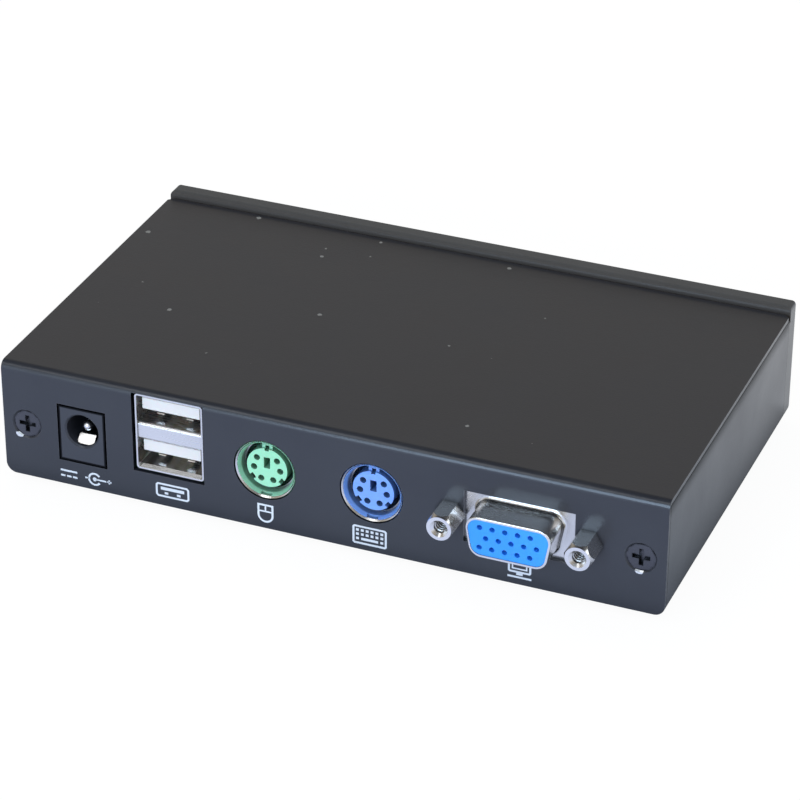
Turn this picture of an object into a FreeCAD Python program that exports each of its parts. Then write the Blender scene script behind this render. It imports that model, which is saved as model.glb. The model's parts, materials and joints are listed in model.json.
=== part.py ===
import FreeCAD, Part
import math
import os

Vector = FreeCAD.Vector

# Folded sheet steel of the case.
sheet = 0.8
seam_gap = 0.14
tray_bend_inside = 1.2
cover_bend_inside = 0.7
panel_corner_radius = 2.0
cover_rear_chamfer = 0.8
bend_relief = 0.6

# Row of sockets along the port panel, from the left side of the case.
end_margin = 11.15
gap_power_to_usb = 6.1
gap_usb_to_mouse = 5.0
gap_mouse_to_keyboard = 6.15
gap_keyboard_to_monitor = 4.85

# Circuit board and what carries it.
standoff_height = 2.8
standoff_radius = 2.75
board_thickness = 1.6
board_depth = 65.0
board_side_gap = 1.0
board_edge_gap = 0.39
board_corner_radius = 1.0
board_screw_inset = 8.0
board_screw_front = 20.0
board_screw_pitch = 26.0
tail_length = 1.0
tail_hole_play = 0.1

# Screws with a 3 mm thread, drawn at the thread's core.
thread_radius = 1.5
core_radius = 1.2
thread_play = 0.05
clearance_hole_play = 0.15
flat_head_radius = 2.65
flat_head_rim = 0.28
flat_screw_length = 6.0
pan_head_radius = 2.75
pan_head_height = 1.9
cross_width = 0.8
cross_span = 3.2
cross_depth = 0.9
board_screw_length = 4.0

# Ears behind the port panel that take the panel screws.
ear_width = 8.4
ear_height = 15.0
ear_side_gap = 0.2
ear_collar_radius = 2.4
ear_collar_length = 1.3
panel_screw_inset = 4.65
panel_screw_height = 10.8

# Plastic bezel at the far end.
bezel_plug_depth = 1.6
bezel_seam_gap = 0.05
bezel_shadow_gap = 0.5
bezel_shadow_depth = 1.6
bezel_rim_depth = 3.6
bezel_face_thickness = 2.0
bezel_wall = 2.0
bezel_lip_height = 1.28
bezel_fit = 0.15
bezel_upper_corner = 0.8
bezel_lip_round = 1.05
bezel_front_round = 0.5
bezel_boss_radius = 3.6
bezel_screw_inset = 7.4
bezel_window_gap = 0.3

# Rubber feet.
foot_radius = 4.5
foot_taper = 0.5
foot_height = 1.5
foot_inset = 12.0

# Flat wire of the contacts.
contact_thickness = 0.3
wide_contact = 1.0
narrow_contact = 0.5
leg_pitch = 2.54

# Power jack for a 5.5 mm plug with a 2 mm pin.
jack_width = 9.0
jack_height = 11.0
jack_depth = 13.6
jack_face_depth = 3.6
jack_waist = 0.2
jack_bore_radius = 3.15
jack_bore_depth = 11.6
jack_bore_height = 6.5
jack_pin_radius = 1.0
jack_pin_setback = 2.6
jack_pin_strip = 0.4
jack_strip_width = 2.6
jack_strip_rise = 1.5
jack_spring_width = 3.2
jack_spring_setback = 1.2
jack_spring_rise = 1.3
jack_rim_chamfer = 0.3
jack_cutout_gap = 0.3

# Two USB sockets, one above the other.
usb_width = 13.1
usb_wall = 0.3
usb_corner = 0.6
usb_port_height = 5.12
usb_divider_height = 3.4
usb_lift = 1.85
usb_setback = 0.3
usb_flare_height = 0.5
usb_flare_depth = 0.7
usb_mouth_depth = 9.4
usb_block_depth = 6.6
usb_tongue_side_gap = 0.7
usb_tongue_thickness = 2.2
usb_tongue_gap = 0.35
usb_tongue_setback = 1.1
usb_spring_width = 1.4
usb_spring_pitch = 5.7
usb_spring_rise = 1.5
usb_leg_width = 2.0
usb_outer_way = 3.5
usb_inner_way = 1.0
usb_cutout_left = 0.55
usb_cutout_right = 0.25
usb_cutout_below = 1.0
usb_cutout_above = 0.6

# Round mini-DIN socket with six ways.
din_width = 14.0
din_height = 13.0
din_depth = 12.0
din_centre_height = 6.7
din_ring_radius = 5.4
din_ring_land = 0.08
din_ring_gap = 0.55
din_mouth_depth = 0.7
din_ring_setback = 0.4
din_panel_gap = 0.3
din_bore_radius = 4.95
din_bore_depth = 8.6
din_shield_thickness = 0.28
din_shield_play = 0.03
din_shield_setback = 2.0
din_insert_radius = 3.85
din_insert_setback = 0.6
din_key_width = 2.0
din_key_setback = 0.9
din_key_notch_width = 0.8
din_key_notch_height = 1.0
din_hole_radius = 0.6
din_hole_depth = 3.2
din_keyway_width = 2.1
din_keyway_height = 0.75
din_notch_width = 1.1
din_notch_depth = 0.7
din_notch_length = 3.0
din_notch_angle = 129
din_slot_width = 1.2
din_slot_height = 2.2
din_slot_rise = 0.95
din_shield_leg = 1.2
din_contact_width = 0.7
din_upper_way_side = 1.93
din_upper_way_rise = 1.73
din_middle_way_side = 2.5
din_middle_way_rise = -0.25
din_lower_way_side = 1.15
din_lower_way_rise = -2.3
din_leg_pitch = 1.3

# Fifteen-way video socket in a D-shaped shell.
dsub_flange_end = 2.905
dsub_flange_height = 12.5
dsub_flange_thickness = 0.5
dsub_flange_lift = 0.05
dsub_shell_width = 16.33
dsub_shell_height = 7.9
dsub_shell_slope = 10.0
dsub_shell_corner = 2.4
dsub_shell_wall = 0.5
dsub_shell_proud = 5.55
dsub_root_fillet = 0.75
dsub_core_gap = 0.05
dsub_core_setback = 0.12
dsub_hole_radius = 0.5
dsub_hole_depth = 3.4
dsub_way_pitch = 2.29
dsub_row_pitch = 1.98
dsub_flange_corner = 0.8
dsub_block_round = 1.0
dsub_block_gap = 0.195
dsub_block_depth = 12.0
dsub_screw_pitch = 24.99
dsub_window_width = 20.2
dsub_window_height = 10.2
dsub_bracket_width = 5.6
dsub_bracket_thickness = 1.0
dsub_bracket_depth = 8.0
dsub_bracket_height = 10.6
dsub_peg_radius = 1.0
dsub_peg_place = 5.6
jackscrew_across_flats = 4.8
jackscrew_length = 5.6
jackscrew_mouth_radius = 1.65
jackscrew_mouth_depth = 0.5
jackscrew_thread_radius = 1.12
jackscrew_thread_depth = 4.2
jackscrew_shank_radius = 1.4
jackscrew_shank_length = 4.2
jackscrew_chamfer = 0.5
jackscrew_chamfer_length = 1.1

# Eight-way modular socket for the line to the receiver.
link_width = 16.0
link_height = 13.4
link_depth = 15.6
link_wall = 0.2
link_mouth_width = 11.8
link_mouth_height = 7.0
link_mouth_base = 2.6
link_mouth_depth = 12.0
link_latch_width = 6.2
link_latch_height = 1.6
link_notch_width = 3.4
link_notch_height = 1.1
link_way_pitch = 1.02
link_wire_width = 0.45
link_wire_rise = 2.4
link_comb_setback = 1.4

# Square USB socket towards the computer.
hub_width = 12.0
hub_height = 10.8
hub_depth = 16.2
hub_wall = 0.3
hub_mouth_width = 8.5
hub_mouth_height = 7.8
hub_mouth_chamfer = 1.6
hub_mouth_depth = 9.2
hub_tongue_width = 5.6
hub_tongue_height = 3.2
hub_tongue_setback = 1.5
hub_way_pitch = 2.5

# Row along the end wall, from the left side of the case as the port panel is seen.
end_row_margin = 15.0
gap_link_to_leds = 6.0
gap_leds_to_video = 6.0
gap_video_to_usb = 8.0
end_socket_setback = 0.2

# Status lamps in one holder.
led_radius = 1.5
led_pitch = 5.0
led_height = 6.0
led_flange_radius = 1.9
led_flange_thickness = 1.0
led_holder_width = 10.4
led_holder_height = 8.4
led_holder_depth = 6.0
led_tip_proud = 0.3
led_lead_pitch = 1.27
led_lead_width = 0.4

# Parts on the middle of the board.
chip_lift = 0.1
chip_lead_thickness = 0.18
chip_lead_reach = 1.1
controller_size = 7.0
controller_height = 1.4
controller_lead_count = 32
controller_pitch = 0.8
driver_width = 3.9
driver_depth = 4.9
driver_height = 1.45
driver_lead_count = 8
driver_pitch = 1.27
driver_spacing = 9.0
driver_count = 3
can_radius = 3.15
can_height = 7.7
can_groove = 0.35
can_groove_height = 1.7
crystal_length = 11.0
crystal_width = 4.6
crystal_height = 3.5
crystal_rim = 0.3
inductor_size = 7.0
inductor_height = 3.8
inductor_core_radius = 2.8
regulator_width = 6.5
regulator_depth = 3.5
regulator_height = 1.6
regulator_lead_pitch = 2.3
resistor_width = 0.8
resistor_length = 1.6
resistor_height = 0.5
resistor_pitch = 2.4

# Places on the board: from its left edge for the power parts, from its middle for the others.
first_can_inset = 14.85
second_can_inset = 31.85
inductor_inset = 20.85
regulator_inset = 22.85
power_front_row = -6.0
power_back_row = 4.0
first_driver_shift = 18.0
crystal_shift = -13.0
crystal_row = 4.0
controller_resistors = (-6.0, -9.0)
driver_resistors = (16.0, -8.0)
crystal_resistors = (-16.0, -3.0)
controller_resistor_count = 6
driver_resistor_count = 10
crystal_resistor_count = 3

# Height that the tallest socket leaves under the top.
roof_gap = 0.61

# Sizes that follow from the ones above.
dsub_flange_width = dsub_screw_pitch + 2 * dsub_flange_end
dsub_centre_height = dsub_flange_lift + dsub_flange_height / 2
dsub_block_width = dsub_screw_pitch - dsub_bracket_width - 2 * dsub_block_gap
usb_ways = (-usb_outer_way, -usb_inner_way, usb_inner_way, usb_outer_way)
din_ways = ((din_upper_way_side, din_upper_way_rise), (din_middle_way_side, din_middle_way_rise),
            (din_lower_way_side, din_lower_way_rise))
board_top = sheet + standoff_height + board_thickness
tail_end = -board_thickness - tail_length
usb_height = 2 * usb_wall + 2 * usb_port_height + usb_divider_height
tallest_socket = max(usb_lift + usb_height, din_height, link_height, hub_height, jack_height)
case_height = board_top + tallest_socket + roof_gap + sheet
power_x = end_margin + jack_width / 2
usb_x = power_x + jack_width / 2 + gap_power_to_usb + usb_width / 2
mouse_x = usb_x + usb_width / 2 + gap_usb_to_mouse + din_width / 2
keyboard_x = mouse_x + din_width + gap_mouse_to_keyboard
monitor_x = keyboard_x + din_width / 2 + gap_keyboard_to_monitor + dsub_flange_width / 2
case_width = monitor_x + dsub_flange_width / 2 + end_margin
half_width = case_width / 2
inner_half = half_width - sheet
tray_bend = tray_bend_inside + sheet
cover_bend = cover_bend_inside + sheet
panel_back = sheet + seam_gap
board_front = panel_back + sheet + board_edge_gap
board_rear = board_front + board_depth
wall_inner = board_rear + board_edge_gap
wall_outer = wall_inner + sheet
case_depth = wall_outer + bezel_plug_depth
bezel_lip_back = case_depth + bezel_shadow_gap
bezel_front = bezel_lip_back + bezel_rim_depth
bezel_top = case_height + bezel_lip_height
roof = case_height - sheet
wall_top = roof - seam_gap
flat_head_sink = flat_head_rim - thread_play
hole_radius = core_radius + thread_play
link_x = end_row_margin + link_width / 2
led_x = link_x + link_width / 2 + gap_link_to_leds + led_holder_width / 2
video_x = led_x + led_holder_width / 2 + gap_leds_to_video + dsub_flange_width / 2
hub_x = video_x + dsub_flange_width / 2 + gap_video_to_usb + hub_width / 2

# The finished part's origin is the middle of its box, at the bottom of the feet.
front_reach = -max(jackscrew_length, dsub_shell_proud)
rear_reach = bezel_front + led_tip_proud
origin_shift = Vector(0, -(front_reach + rear_reach) / 2, foot_height)


# A point of a plane named by its two axes, at a given distance along the third.
def plane_point(plane, u, v, offset):
    if plane == "XZ":
        return Vector(u, offset, v)
    if plane == "YZ":
        return Vector(offset, u, v)
    return Vector(u, v, offset)


# Closed wire through corners (u, v, radius), each rounded by its own radius.
def outline(corners, plane, offset):
    edges = []
    ends = []
    count = len(corners)
    for index in range(count):
        u, v, radius = corners[index]
        here = Vector(u, v, 0)
        before = Vector(corners[index - 1][0], corners[index - 1][1], 0)
        after = Vector(corners[(index + 1) % count][0], corners[(index + 1) % count][1], 0)
        if radius <= 0:
            ends.append((here, None, here))
            continue
        back = (before - here).normalize()
        forth = (after - here).normalize()
        half_angle = back.getAngle(forth) / 2
        reach = radius / math.tan(half_angle)
        middle = (back + forth).normalize()
        crown = here + middle * (radius / math.sin(half_angle) - radius)
        ends.append((here + back * reach, crown, here + forth * reach))
    for index in range(count):
        start, crown, stop = ends[index]
        if crown is not None:
            points = [plane_point(plane, p.x, p.y, offset) for p in (start, crown, stop)]
            edges.append(Part.Arc(points[0], points[1], points[2]).toShape())
        following = ends[(index + 1) % count][0]
        if stop.distanceToPoint(following) > 1e-6:
            first = plane_point(plane, stop.x, stop.y, offset)
            second = plane_point(plane, following.x, following.y, offset)
            edges.append(Part.LineSegment(first, second).toShape())
    return Part.Wire(edges)


# Solid with one section along the third axis of its plane.
def prism(corners, plane, start, stop):
    face = Part.Face(outline(corners, plane, start))
    return face.extrude(plane_point(plane, 0, 0, stop - start))


def block(x0, x1, y0, y1, z0, z1):
    return Part.makeBox(x1 - x0, y1 - y0, z1 - z0, Vector(x0, y0, z0))


# Corners of an upright rectangle about a centre.
def rectangle(x, z, width, height, radius=0):
    left = x - width / 2
    right = x + width / 2
    low = z - height / 2
    high = z + height / 2
    return [(left, low, radius), (right, low, radius), (right, high, radius), (left, high, radius)]


def rod_y(x, y0, y1, z, radius):
    return Part.makeCylinder(radius, y1 - y0, Vector(x, y0, z), Vector(0, 1, 0))


def rod_z(x, y, z0, z1, radius):
    return Part.makeCylinder(radius, z1 - z0, Vector(x, y, z0), Vector(0, 0, 1))


# Flat strip bent along a path of (y, z) points, of one width along X.
def bent_strip(path, thickness, x, width):
    upper = []
    lower = []
    last = len(path) - 1
    for index, (y, z) in enumerate(path):
        normals = []
        for first in (index - 1, index):
            if 0 <= first < last:
                run = Vector(path[first + 1][0] - path[first][0], path[first + 1][1] - path[first][1], 0)
                run.normalize()
                normals.append(Vector(-run.y, run.x, 0))
        side = normals[0] if len(normals) == 1 else (normals[0] + normals[1]).normalize()
        reach = thickness / 2 / side.dot(normals[0])
        upper.append((y + side.x * reach, z + side.y * reach, 0))
        lower.append((y - side.x * reach, z - side.y * reach, 0))
    return prism(upper + lower[::-1], "YZ", x - width / 2, x + width / 2)


def fused(shapes):
    return shapes[0].multiFuse(shapes[1:]).removeSplitter() if len(shapes) > 1 else shapes[0]


# A socket drawn with its face towards the port panel, moved to its place there.
def on_port_panel(shape, from_left):
    placed = shape.copy()
    placed.translate(Vector(from_left - half_width, 0, board_top))
    return placed


# The same, turned to face out of the end wall.
def on_end_wall(shape, from_left, face):
    placed = shape.copy()
    placed.rotate(Vector(0, 0, 0), Vector(0, 0, 1), 180)
    placed.translate(Vector(from_left - half_width, face, board_top))
    return placed


def save(node, shapes):
    solids = []
    for shape in shapes:
        solids.extend(shape.Solids)
    moved = Part.makeCompound(solids) if len(solids) > 1 else solids[0].copy()
    moved.translate(origin_shift)
    moved.exportStep("parts/" + node + ".step")
    faces = sum(len(solid.Faces) for solid in solids)
    print(node, len(solids), "solids", faces, "faces", "valid" if moved.isValid() else "NOT VALID")


# Cone of a countersunk head and its hole, from the panel's face inwards.
def countersink(x, z, wider):
    mouth = flat_head_radius + wider
    depth = mouth - hole_radius
    return Part.makeCone(mouth, hole_radius, depth, Vector(x, 0, z), Vector(0, 1, 0))


def panel_screw_places():
    return [(-half_width + panel_screw_inset, panel_screw_height),
            (half_width - panel_screw_inset, panel_screw_height)]


def bezel_screw_places():
    height = case_height / 2
    return [(-half_width + bezel_screw_inset, height), (half_width - bezel_screw_inset, height)]


def board_screw_places():
    places = []
    for side in (-1, 1):
        for step in (0, 1):
            places.append((side * (half_width - board_screw_inset),
                           board_screw_front + step * board_screw_pitch))
    return places


def foot_places():
    places = []
    for side in (-1, 1):
        for depth in (foot_inset, case_depth - foot_inset):
            places.append((side * (half_width - foot_inset), depth))
    return places


# Two upright ears folded up from the floor behind the port panel.
def screw_ear(side):
    root_out = inner_half + sheet - tray_bend - bend_relief
    plate_out = inner_half - ear_side_gap
    inside = plate_out - ear_width
    low = tray_bend + bend_relief
    bend = [(panel_back, low, 0), (panel_back, 0, cover_bend), (panel_back + cover_bend, 0, 0),
            (panel_back + cover_bend, sheet, 0), (panel_back + sheet, sheet, cover_bend_inside),
            (panel_back + sheet, low, 0)]
    root = prism(bend, "YZ", inside, root_out)
    plate = block(inside, plate_out, panel_back, panel_back + sheet, low, ear_height)
    x = half_width - panel_screw_inset
    collar = rod_y(x, panel_back + sheet, panel_back + sheet + ear_collar_length, panel_screw_height,
                   ear_collar_radius)
    ear = fused([root, plate, collar])
    hole = rod_y(x, 0, panel_back + sheet + 2 * ear_collar_length, panel_screw_height, hole_radius)
    ear = ear.cut(hole).cut(countersink(x, panel_screw_height, flat_head_rim))
    if side < 0:
        ear = ear.mirror(Vector(0, 0, 0), Vector(1, 0, 0))
    return ear


def end_wall():
    root_out = half_width - tray_bend - bend_relief
    plate_out = inner_half - ear_side_gap
    low = tray_bend + bend_relief
    bend = [(wall_outer - cover_bend, 0, 0), (wall_outer, 0, cover_bend), (wall_outer, low, 0),
            (wall_inner, low, 0), (wall_inner, sheet, cover_bend_inside),
            (wall_outer - cover_bend, sheet, 0)]
    root = prism(bend, "YZ", -root_out, root_out)
    plate = block(-plate_out, plate_out, wall_inner, wall_outer, low, roof - bezel_fit)
    wall = fused([root, plate])
    reach = (wall_inner - 1, wall_outer + 1)
    cuts = [prism(link_window(bezel_window_gap), "XZ", *reach),
            prism(hub_window(bezel_window_gap), "XZ", *reach),
            prism(dsub_window(video_x), "XZ", *reach), prism(led_holder_window(), "XZ", *reach)]
    for x in dsub_screw_lines(video_x):
        cuts.append(rod_y(x, reach[0], reach[1], board_top + dsub_centre_height,
                          thread_radius + clearance_hole_play))
    for x, z in bezel_screw_places():
        cuts.append(rod_y(x, reach[0], reach[1], z, hole_radius))
    return wall.cut(Part.makeCompound(cuts))


def dsub_screw_lines(from_left):
    middle = from_left - half_width
    return [middle - dsub_screw_pitch / 2, middle + dsub_screw_pitch / 2]


def dsub_window(from_left):
    return rectangle(from_left - half_width, board_top + dsub_centre_height, dsub_window_width,
                     dsub_window_height)


def link_window(gap):
    low = board_top - gap
    high = board_top + link_height + gap
    return rectangle(link_x - half_width, (low + high) / 2, link_width + 2 * gap, high - low)


def hub_window(gap):
    low = board_top - gap
    high = board_top + hub_height + gap
    return rectangle(hub_x - half_width, (low + high) / 2, hub_width + 2 * gap, high - low)


def led_holder_window():
    low = board_top - bezel_window_gap
    high = board_top + led_holder_height + bezel_window_gap
    width = led_holder_width + 2 * bezel_window_gap
    return rectangle(led_x - half_width, (low + high) / 2, width, high - low)


# Floor and sides folded from one sheet, with the end wall and the two ears.
def base_tray():
    section = [(-half_width, wall_top, 0), (-half_width, 0, tray_bend), (half_width, 0, tray_bend),
               (half_width, wall_top, 0), (inner_half, wall_top, 0),
               (inner_half, sheet, tray_bend_inside),
               (-inner_half, sheet, tray_bend_inside), (-inner_half, wall_top, 0)]
    tray = prism(section, "XZ", panel_back, case_depth)
    side = [(panel_back, 0, 0), (case_depth, 0, 0), (case_depth, wall_top, 0),
            (panel_back, wall_top, cover_bend_inside - seam_gap)]
    tray = tray.common(prism(side, "YZ", -half_width, half_width))
    root_out = half_width - tray_bend - bend_relief
    ear_inside = inner_half - ear_side_gap - ear_width
    low = tray_bend + bend_relief
    cuts = [block(-root_out, root_out, wall_outer - cover_bend, case_depth + 1, -1, low)]
    for side in (-1, 1):
        ends = sorted((side * ear_inside, side * root_out))
        cuts.append(block(ends[0], ends[1], -1, panel_back + cover_bend, -1, low))
    tray = tray.cut(Part.makeCompound(cuts))
    return fused([tray, screw_ear(-1), screw_ear(1), end_wall()])


# Top and port panel folded from one sheet that covers the edges of the tray's sides.
def top_cover():
    section = [(0, 0, 0), (sheet, 0, 0), (sheet, roof, cover_bend_inside), (case_depth, roof, 0),
               (case_depth, case_height, 0), (0, case_height, cover_bend)]
    cover = prism(section, "YZ", -half_width, half_width)
    panel = rectangle(0, case_height / 2, case_width, case_height)
    panel[0] = (panel[0][0], panel[0][1], panel_corner_radius)
    panel[1] = (panel[1][0], panel[1][1], panel_corner_radius)
    cover = cover.common(prism(panel, "XZ", 0, case_depth))
    chamfer = cover_rear_chamfer
    top = [(-half_width, 0, 0), (half_width, 0, 0), (half_width, case_depth - chamfer, 0),
           (half_width - chamfer, case_depth, 0), (-half_width + chamfer, case_depth, 0),
           (-half_width, case_depth - chamfer, 0)]
    cover = cover.common(prism(top, "XY", 0, case_height))
    depth = (-1, panel_back)
    jack_z = board_top + jack_height / 2
    jack = rectangle(power_x - half_width, jack_z, jack_width + 2 * jack_cutout_gap,
                     jack_height + 2 * jack_cutout_gap)
    usb_low = board_top + usb_lift - usb_cutout_below
    usb_high = board_top + usb_lift + usb_height + usb_cutout_above
    usb_wide = usb_width + usb_cutout_left + usb_cutout_right
    usb_middle = usb_x - half_width + (usb_cutout_right - usb_cutout_left) / 2
    usb = rectangle(usb_middle, (usb_low + usb_high) / 2, usb_wide, usb_high - usb_low)
    cuts = [prism(jack, "XZ", *depth), prism(usb, "XZ", -1, cover_bend),
            prism(dsub_window(monitor_x), "XZ", *depth)]
    for from_left in (mouse_x, keyboard_x):
        cuts.append(rod_y(from_left - half_width, depth[0], depth[1], board_top + din_centre_height,
                          din_ring_radius + din_ring_gap))
    for x in dsub_screw_lines(monitor_x):
        cuts.append(rod_y(x, depth[0], depth[1], board_top + dsub_centre_height,
                          thread_radius + clearance_hole_play))
    for x, z in panel_screw_places():
        cuts.append(countersink(x, z, flat_head_rim))
    return cover.cut(Part.makeCompound(cuts))


# Hollow plastic end: a face with windows, a rim that stands above the top, and a plug inside the case.
def end_bezel():
    upper = bezel_upper_corner
    back = case_depth + bezel_seam_gap
    shadow = case_height - bezel_shadow_depth
    rim = [(-half_width, 0, tray_bend), (half_width, 0, tray_bend), (half_width, bezel_top, upper),
           (-half_width, bezel_top, upper)]
    side = [(back, 0, 0), (bezel_front, 0, 0), (bezel_front, bezel_top, 0),
            (bezel_lip_back, bezel_top, bezel_lip_round), (bezel_lip_back, shadow, 0), (back, shadow, 0)]
    body = prism(rim, "XZ", back, bezel_front).common(prism(side, "YZ", -half_width, half_width))
    front = [edge for edge in body.Edges if edge.BoundBox.YMin > bezel_front - 0.01]
    body = body.makeFillet(bezel_front_round, front)
    plug_half = inner_half - bezel_fit
    plug_low = sheet + bezel_fit
    plug_high = roof - bezel_fit
    inside = tray_bend_inside
    plug = [(-plug_half, plug_low, inside), (plug_half, plug_low, inside), (plug_half, plug_high, 0),
            (-plug_half, plug_high, 0)]
    body = fused([body, prism(plug, "XZ", wall_outer, bezel_lip_back)])
    low = plug_low + bezel_wall
    high = plug_high - bezel_wall
    hollow = rectangle(0, (low + high) / 2, 2 * (plug_half - bezel_wall), high - low)
    body = body.cut(prism(hollow, "XZ", wall_outer - 1, bezel_front - bezel_face_thickness))
    bosses = [rod_y(x, wall_outer, bezel_front - bezel_face_thickness / 2, z, bezel_boss_radius)
              for x, z in bezel_screw_places()]
    body = fused([body] + bosses)
    reach = (wall_outer - 1, bezel_front + 1)
    gap = bezel_window_gap
    video_z = board_top + dsub_centre_height
    video_wide = dsub_screw_pitch + jackscrew_across_flats + 4 * gap
    video_high = dsub_shell_height + 4 * gap
    cuts = [prism(link_window(gap), "XZ", *reach), prism(hub_window(gap), "XZ", *reach),
            prism(rectangle(video_x - half_width, video_z, video_wide, video_high,
                            jackscrew_across_flats / 4),
                  "XZ", *reach)]
    for side in (-1, 1):
        x = led_x - half_width + side * led_pitch / 2
        cuts.append(rod_y(x, reach[0], reach[1], board_top + led_height, led_radius + clearance_hole_play))
    for x, z in bezel_screw_places():
        cuts.append(rod_y(x, reach[0], reach[1], z, thread_radius + clearance_hole_play))
        cuts.append(rod_y(x, bezel_front - pan_head_height, reach[1], z,
                          pan_head_radius + clearance_hole_play))
    return body.cut(Part.makeCompound(cuts))


# Two crossed slots for the driver, opened from the head's face.
def cross_recess(head):
    wide = cross_span / 2
    thin = cross_width / 2
    slots = fused([block(-wide, wide, -thin, thin, head - cross_depth, head + 1),
                   block(-thin, thin, -wide, wide, head - cross_depth, head + 1)])
    return slots


# Screws are drawn along +Z with the head's face on top, then turned to their place.
def flat_screw():
    slope = flat_head_radius - core_radius
    head = Part.makeCone(core_radius, flat_head_radius, slope, Vector(0, 0, -slope))
    shank = rod_z(0, 0, -flat_screw_length, -slope, core_radius)
    return fused([head, shank]).cut(cross_recess(0))


def pan_screw(length):
    round_edge = pan_head_height / 3
    profile = [(0, 0, 0), (pan_head_radius, 0, 0), (pan_head_radius, pan_head_height, round_edge),
               (0, pan_head_height, 0)]
    head = Part.Face(outline(profile, "XZ", 0)).revolve(Vector(0, 0, 0), Vector(0, 0, 1), 360)
    shank = rod_z(0, 0, -length, 0, core_radius)
    return fused([head, shank]).cut(cross_recess(pan_head_height))


def turned(shape, axis, angle, place):
    copy = shape.copy()
    copy.rotate(Vector(0, 0, 0), axis, angle)
    copy.translate(place)
    return copy


def panel_screws():
    return [turned(flat_screw(), Vector(1, 0, 0), 90, Vector(x, flat_head_sink, z)) for x,
            z in panel_screw_places()]


def bezel_screws():
    seat = bezel_front - pan_head_height
    return [turned(pan_screw(seat - wall_inner), Vector(1, 0, 0), -90, Vector(x, seat, z))
            for x, z in bezel_screw_places()]


def board_screws():
    return [turned(pan_screw(board_screw_length), Vector(0, 0, 1), 0, Vector(x, y, board_top))
            for x, y in board_screw_places()]


def board_standoffs():
    return [rod_z(x, y, sheet, sheet + standoff_height, standoff_radius).cut(
        rod_z(x, y, 0, board_top, hole_radius)) for x, y in board_screw_places()]


def rubber_feet():
    return [Part.makeCone(foot_radius - foot_taper, foot_radius, foot_height, Vector(x, y, -foot_height))
            for x, y in foot_places()]


# Power jack: square face, round-topped body, a pin on its rear strip and a sleeve spring in a slot.
def power_jack():
    half = jack_width / 2
    waist = half - jack_waist
    shoulder = jack_height - jack_waist
    face = block(-half, half, 0, jack_face_depth, 0, jack_height)
    crown = waist - jack_waist
    rear = prism([(-waist, 0, 0), (waist, 0, 0), (waist, shoulder, crown), (-waist, shoulder, crown)],
                 "XZ", jack_face_depth, jack_depth)
    body = fused([face, rear])
    body = body.cut(rod_y(0, -1, jack_bore_depth, jack_bore_height, jack_bore_radius))
    rim = jack_rim_chamfer
    body = body.cut(Part.makeCone(jack_bore_radius + rim, jack_bore_radius, rim,
                                  Vector(0, 0, jack_bore_height),
                                  Vector(0, 1, 0)))
    body = body.cut(rod_y(0, jack_bore_depth - 1, jack_depth + 1, jack_bore_height,
                          jack_pin_radius + thread_play))
    pin = rod_y(0, jack_pin_setback, jack_depth + jack_pin_strip, jack_bore_height, jack_pin_radius)
    tip = Part.makeSphere(jack_pin_radius, Vector(0, jack_pin_setback, jack_bore_height))
    strip_half = jack_strip_width / 2
    strip = block(-strip_half, strip_half, jack_depth, jack_depth + jack_pin_strip, tail_end,
                  jack_bore_height + jack_strip_rise)
    pin = fused([pin, tip, strip])
    bore_floor = jack_bore_height - jack_bore_radius
    leg_y = jack_face_depth + 2 * leg_pitch
    low = bore_floor / 2
    foot = bore_floor - contact_thickness / 2
    path = [(leg_y, tail_end), (leg_y, low),
            (jack_spring_setback + jack_spring_rise, foot + jack_spring_rise),
            (jack_spring_setback, foot)]
    spring = bent_strip(path, contact_thickness, 0, jack_spring_width)
    slot_half = jack_spring_width / 2 + thread_play
    slot = block(-slot_half, slot_half, jack_spring_setback - contact_thickness, leg_y + contact_thickness,
                 low - contact_thickness, bore_floor + jack_spring_rise)
    body = body.cut(slot).cut(spring)
    return {"body": [body], "pin": [pin], "spring": [spring]}, [(0, leg_y, jack_spring_width / 2),
                                                              (0, jack_depth + jack_pin_strip / 2,
                                                               strip_half)]


# Rounded spring finger that rises from the floor of a USB port.
def usb_spring(x, floor):
    crest = floor + usb_spring_rise
    path = [(usb_mouth_depth - usb_spring_rise, floor), (usb_mouth_depth / 2, crest),
            (usb_mouth_depth / 3, crest - usb_wall)]
    return bent_strip(path, usb_wall, x, usb_spring_width)


# Straight-sided funnel between two rounded rectangles, for the flared mouth of a shell.
def funnel(width, low, high, radius, flare, y_out, y):
    sections = []
    for spread, depth in ((0, y), (flare, y_out)):
        section = rectangle(0, (low + high) / 2, width, high - low + 2 * spread, radius)
        sections.append(outline(section, "XZ", depth))
    return Part.makeLoft(sections, True)


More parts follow.
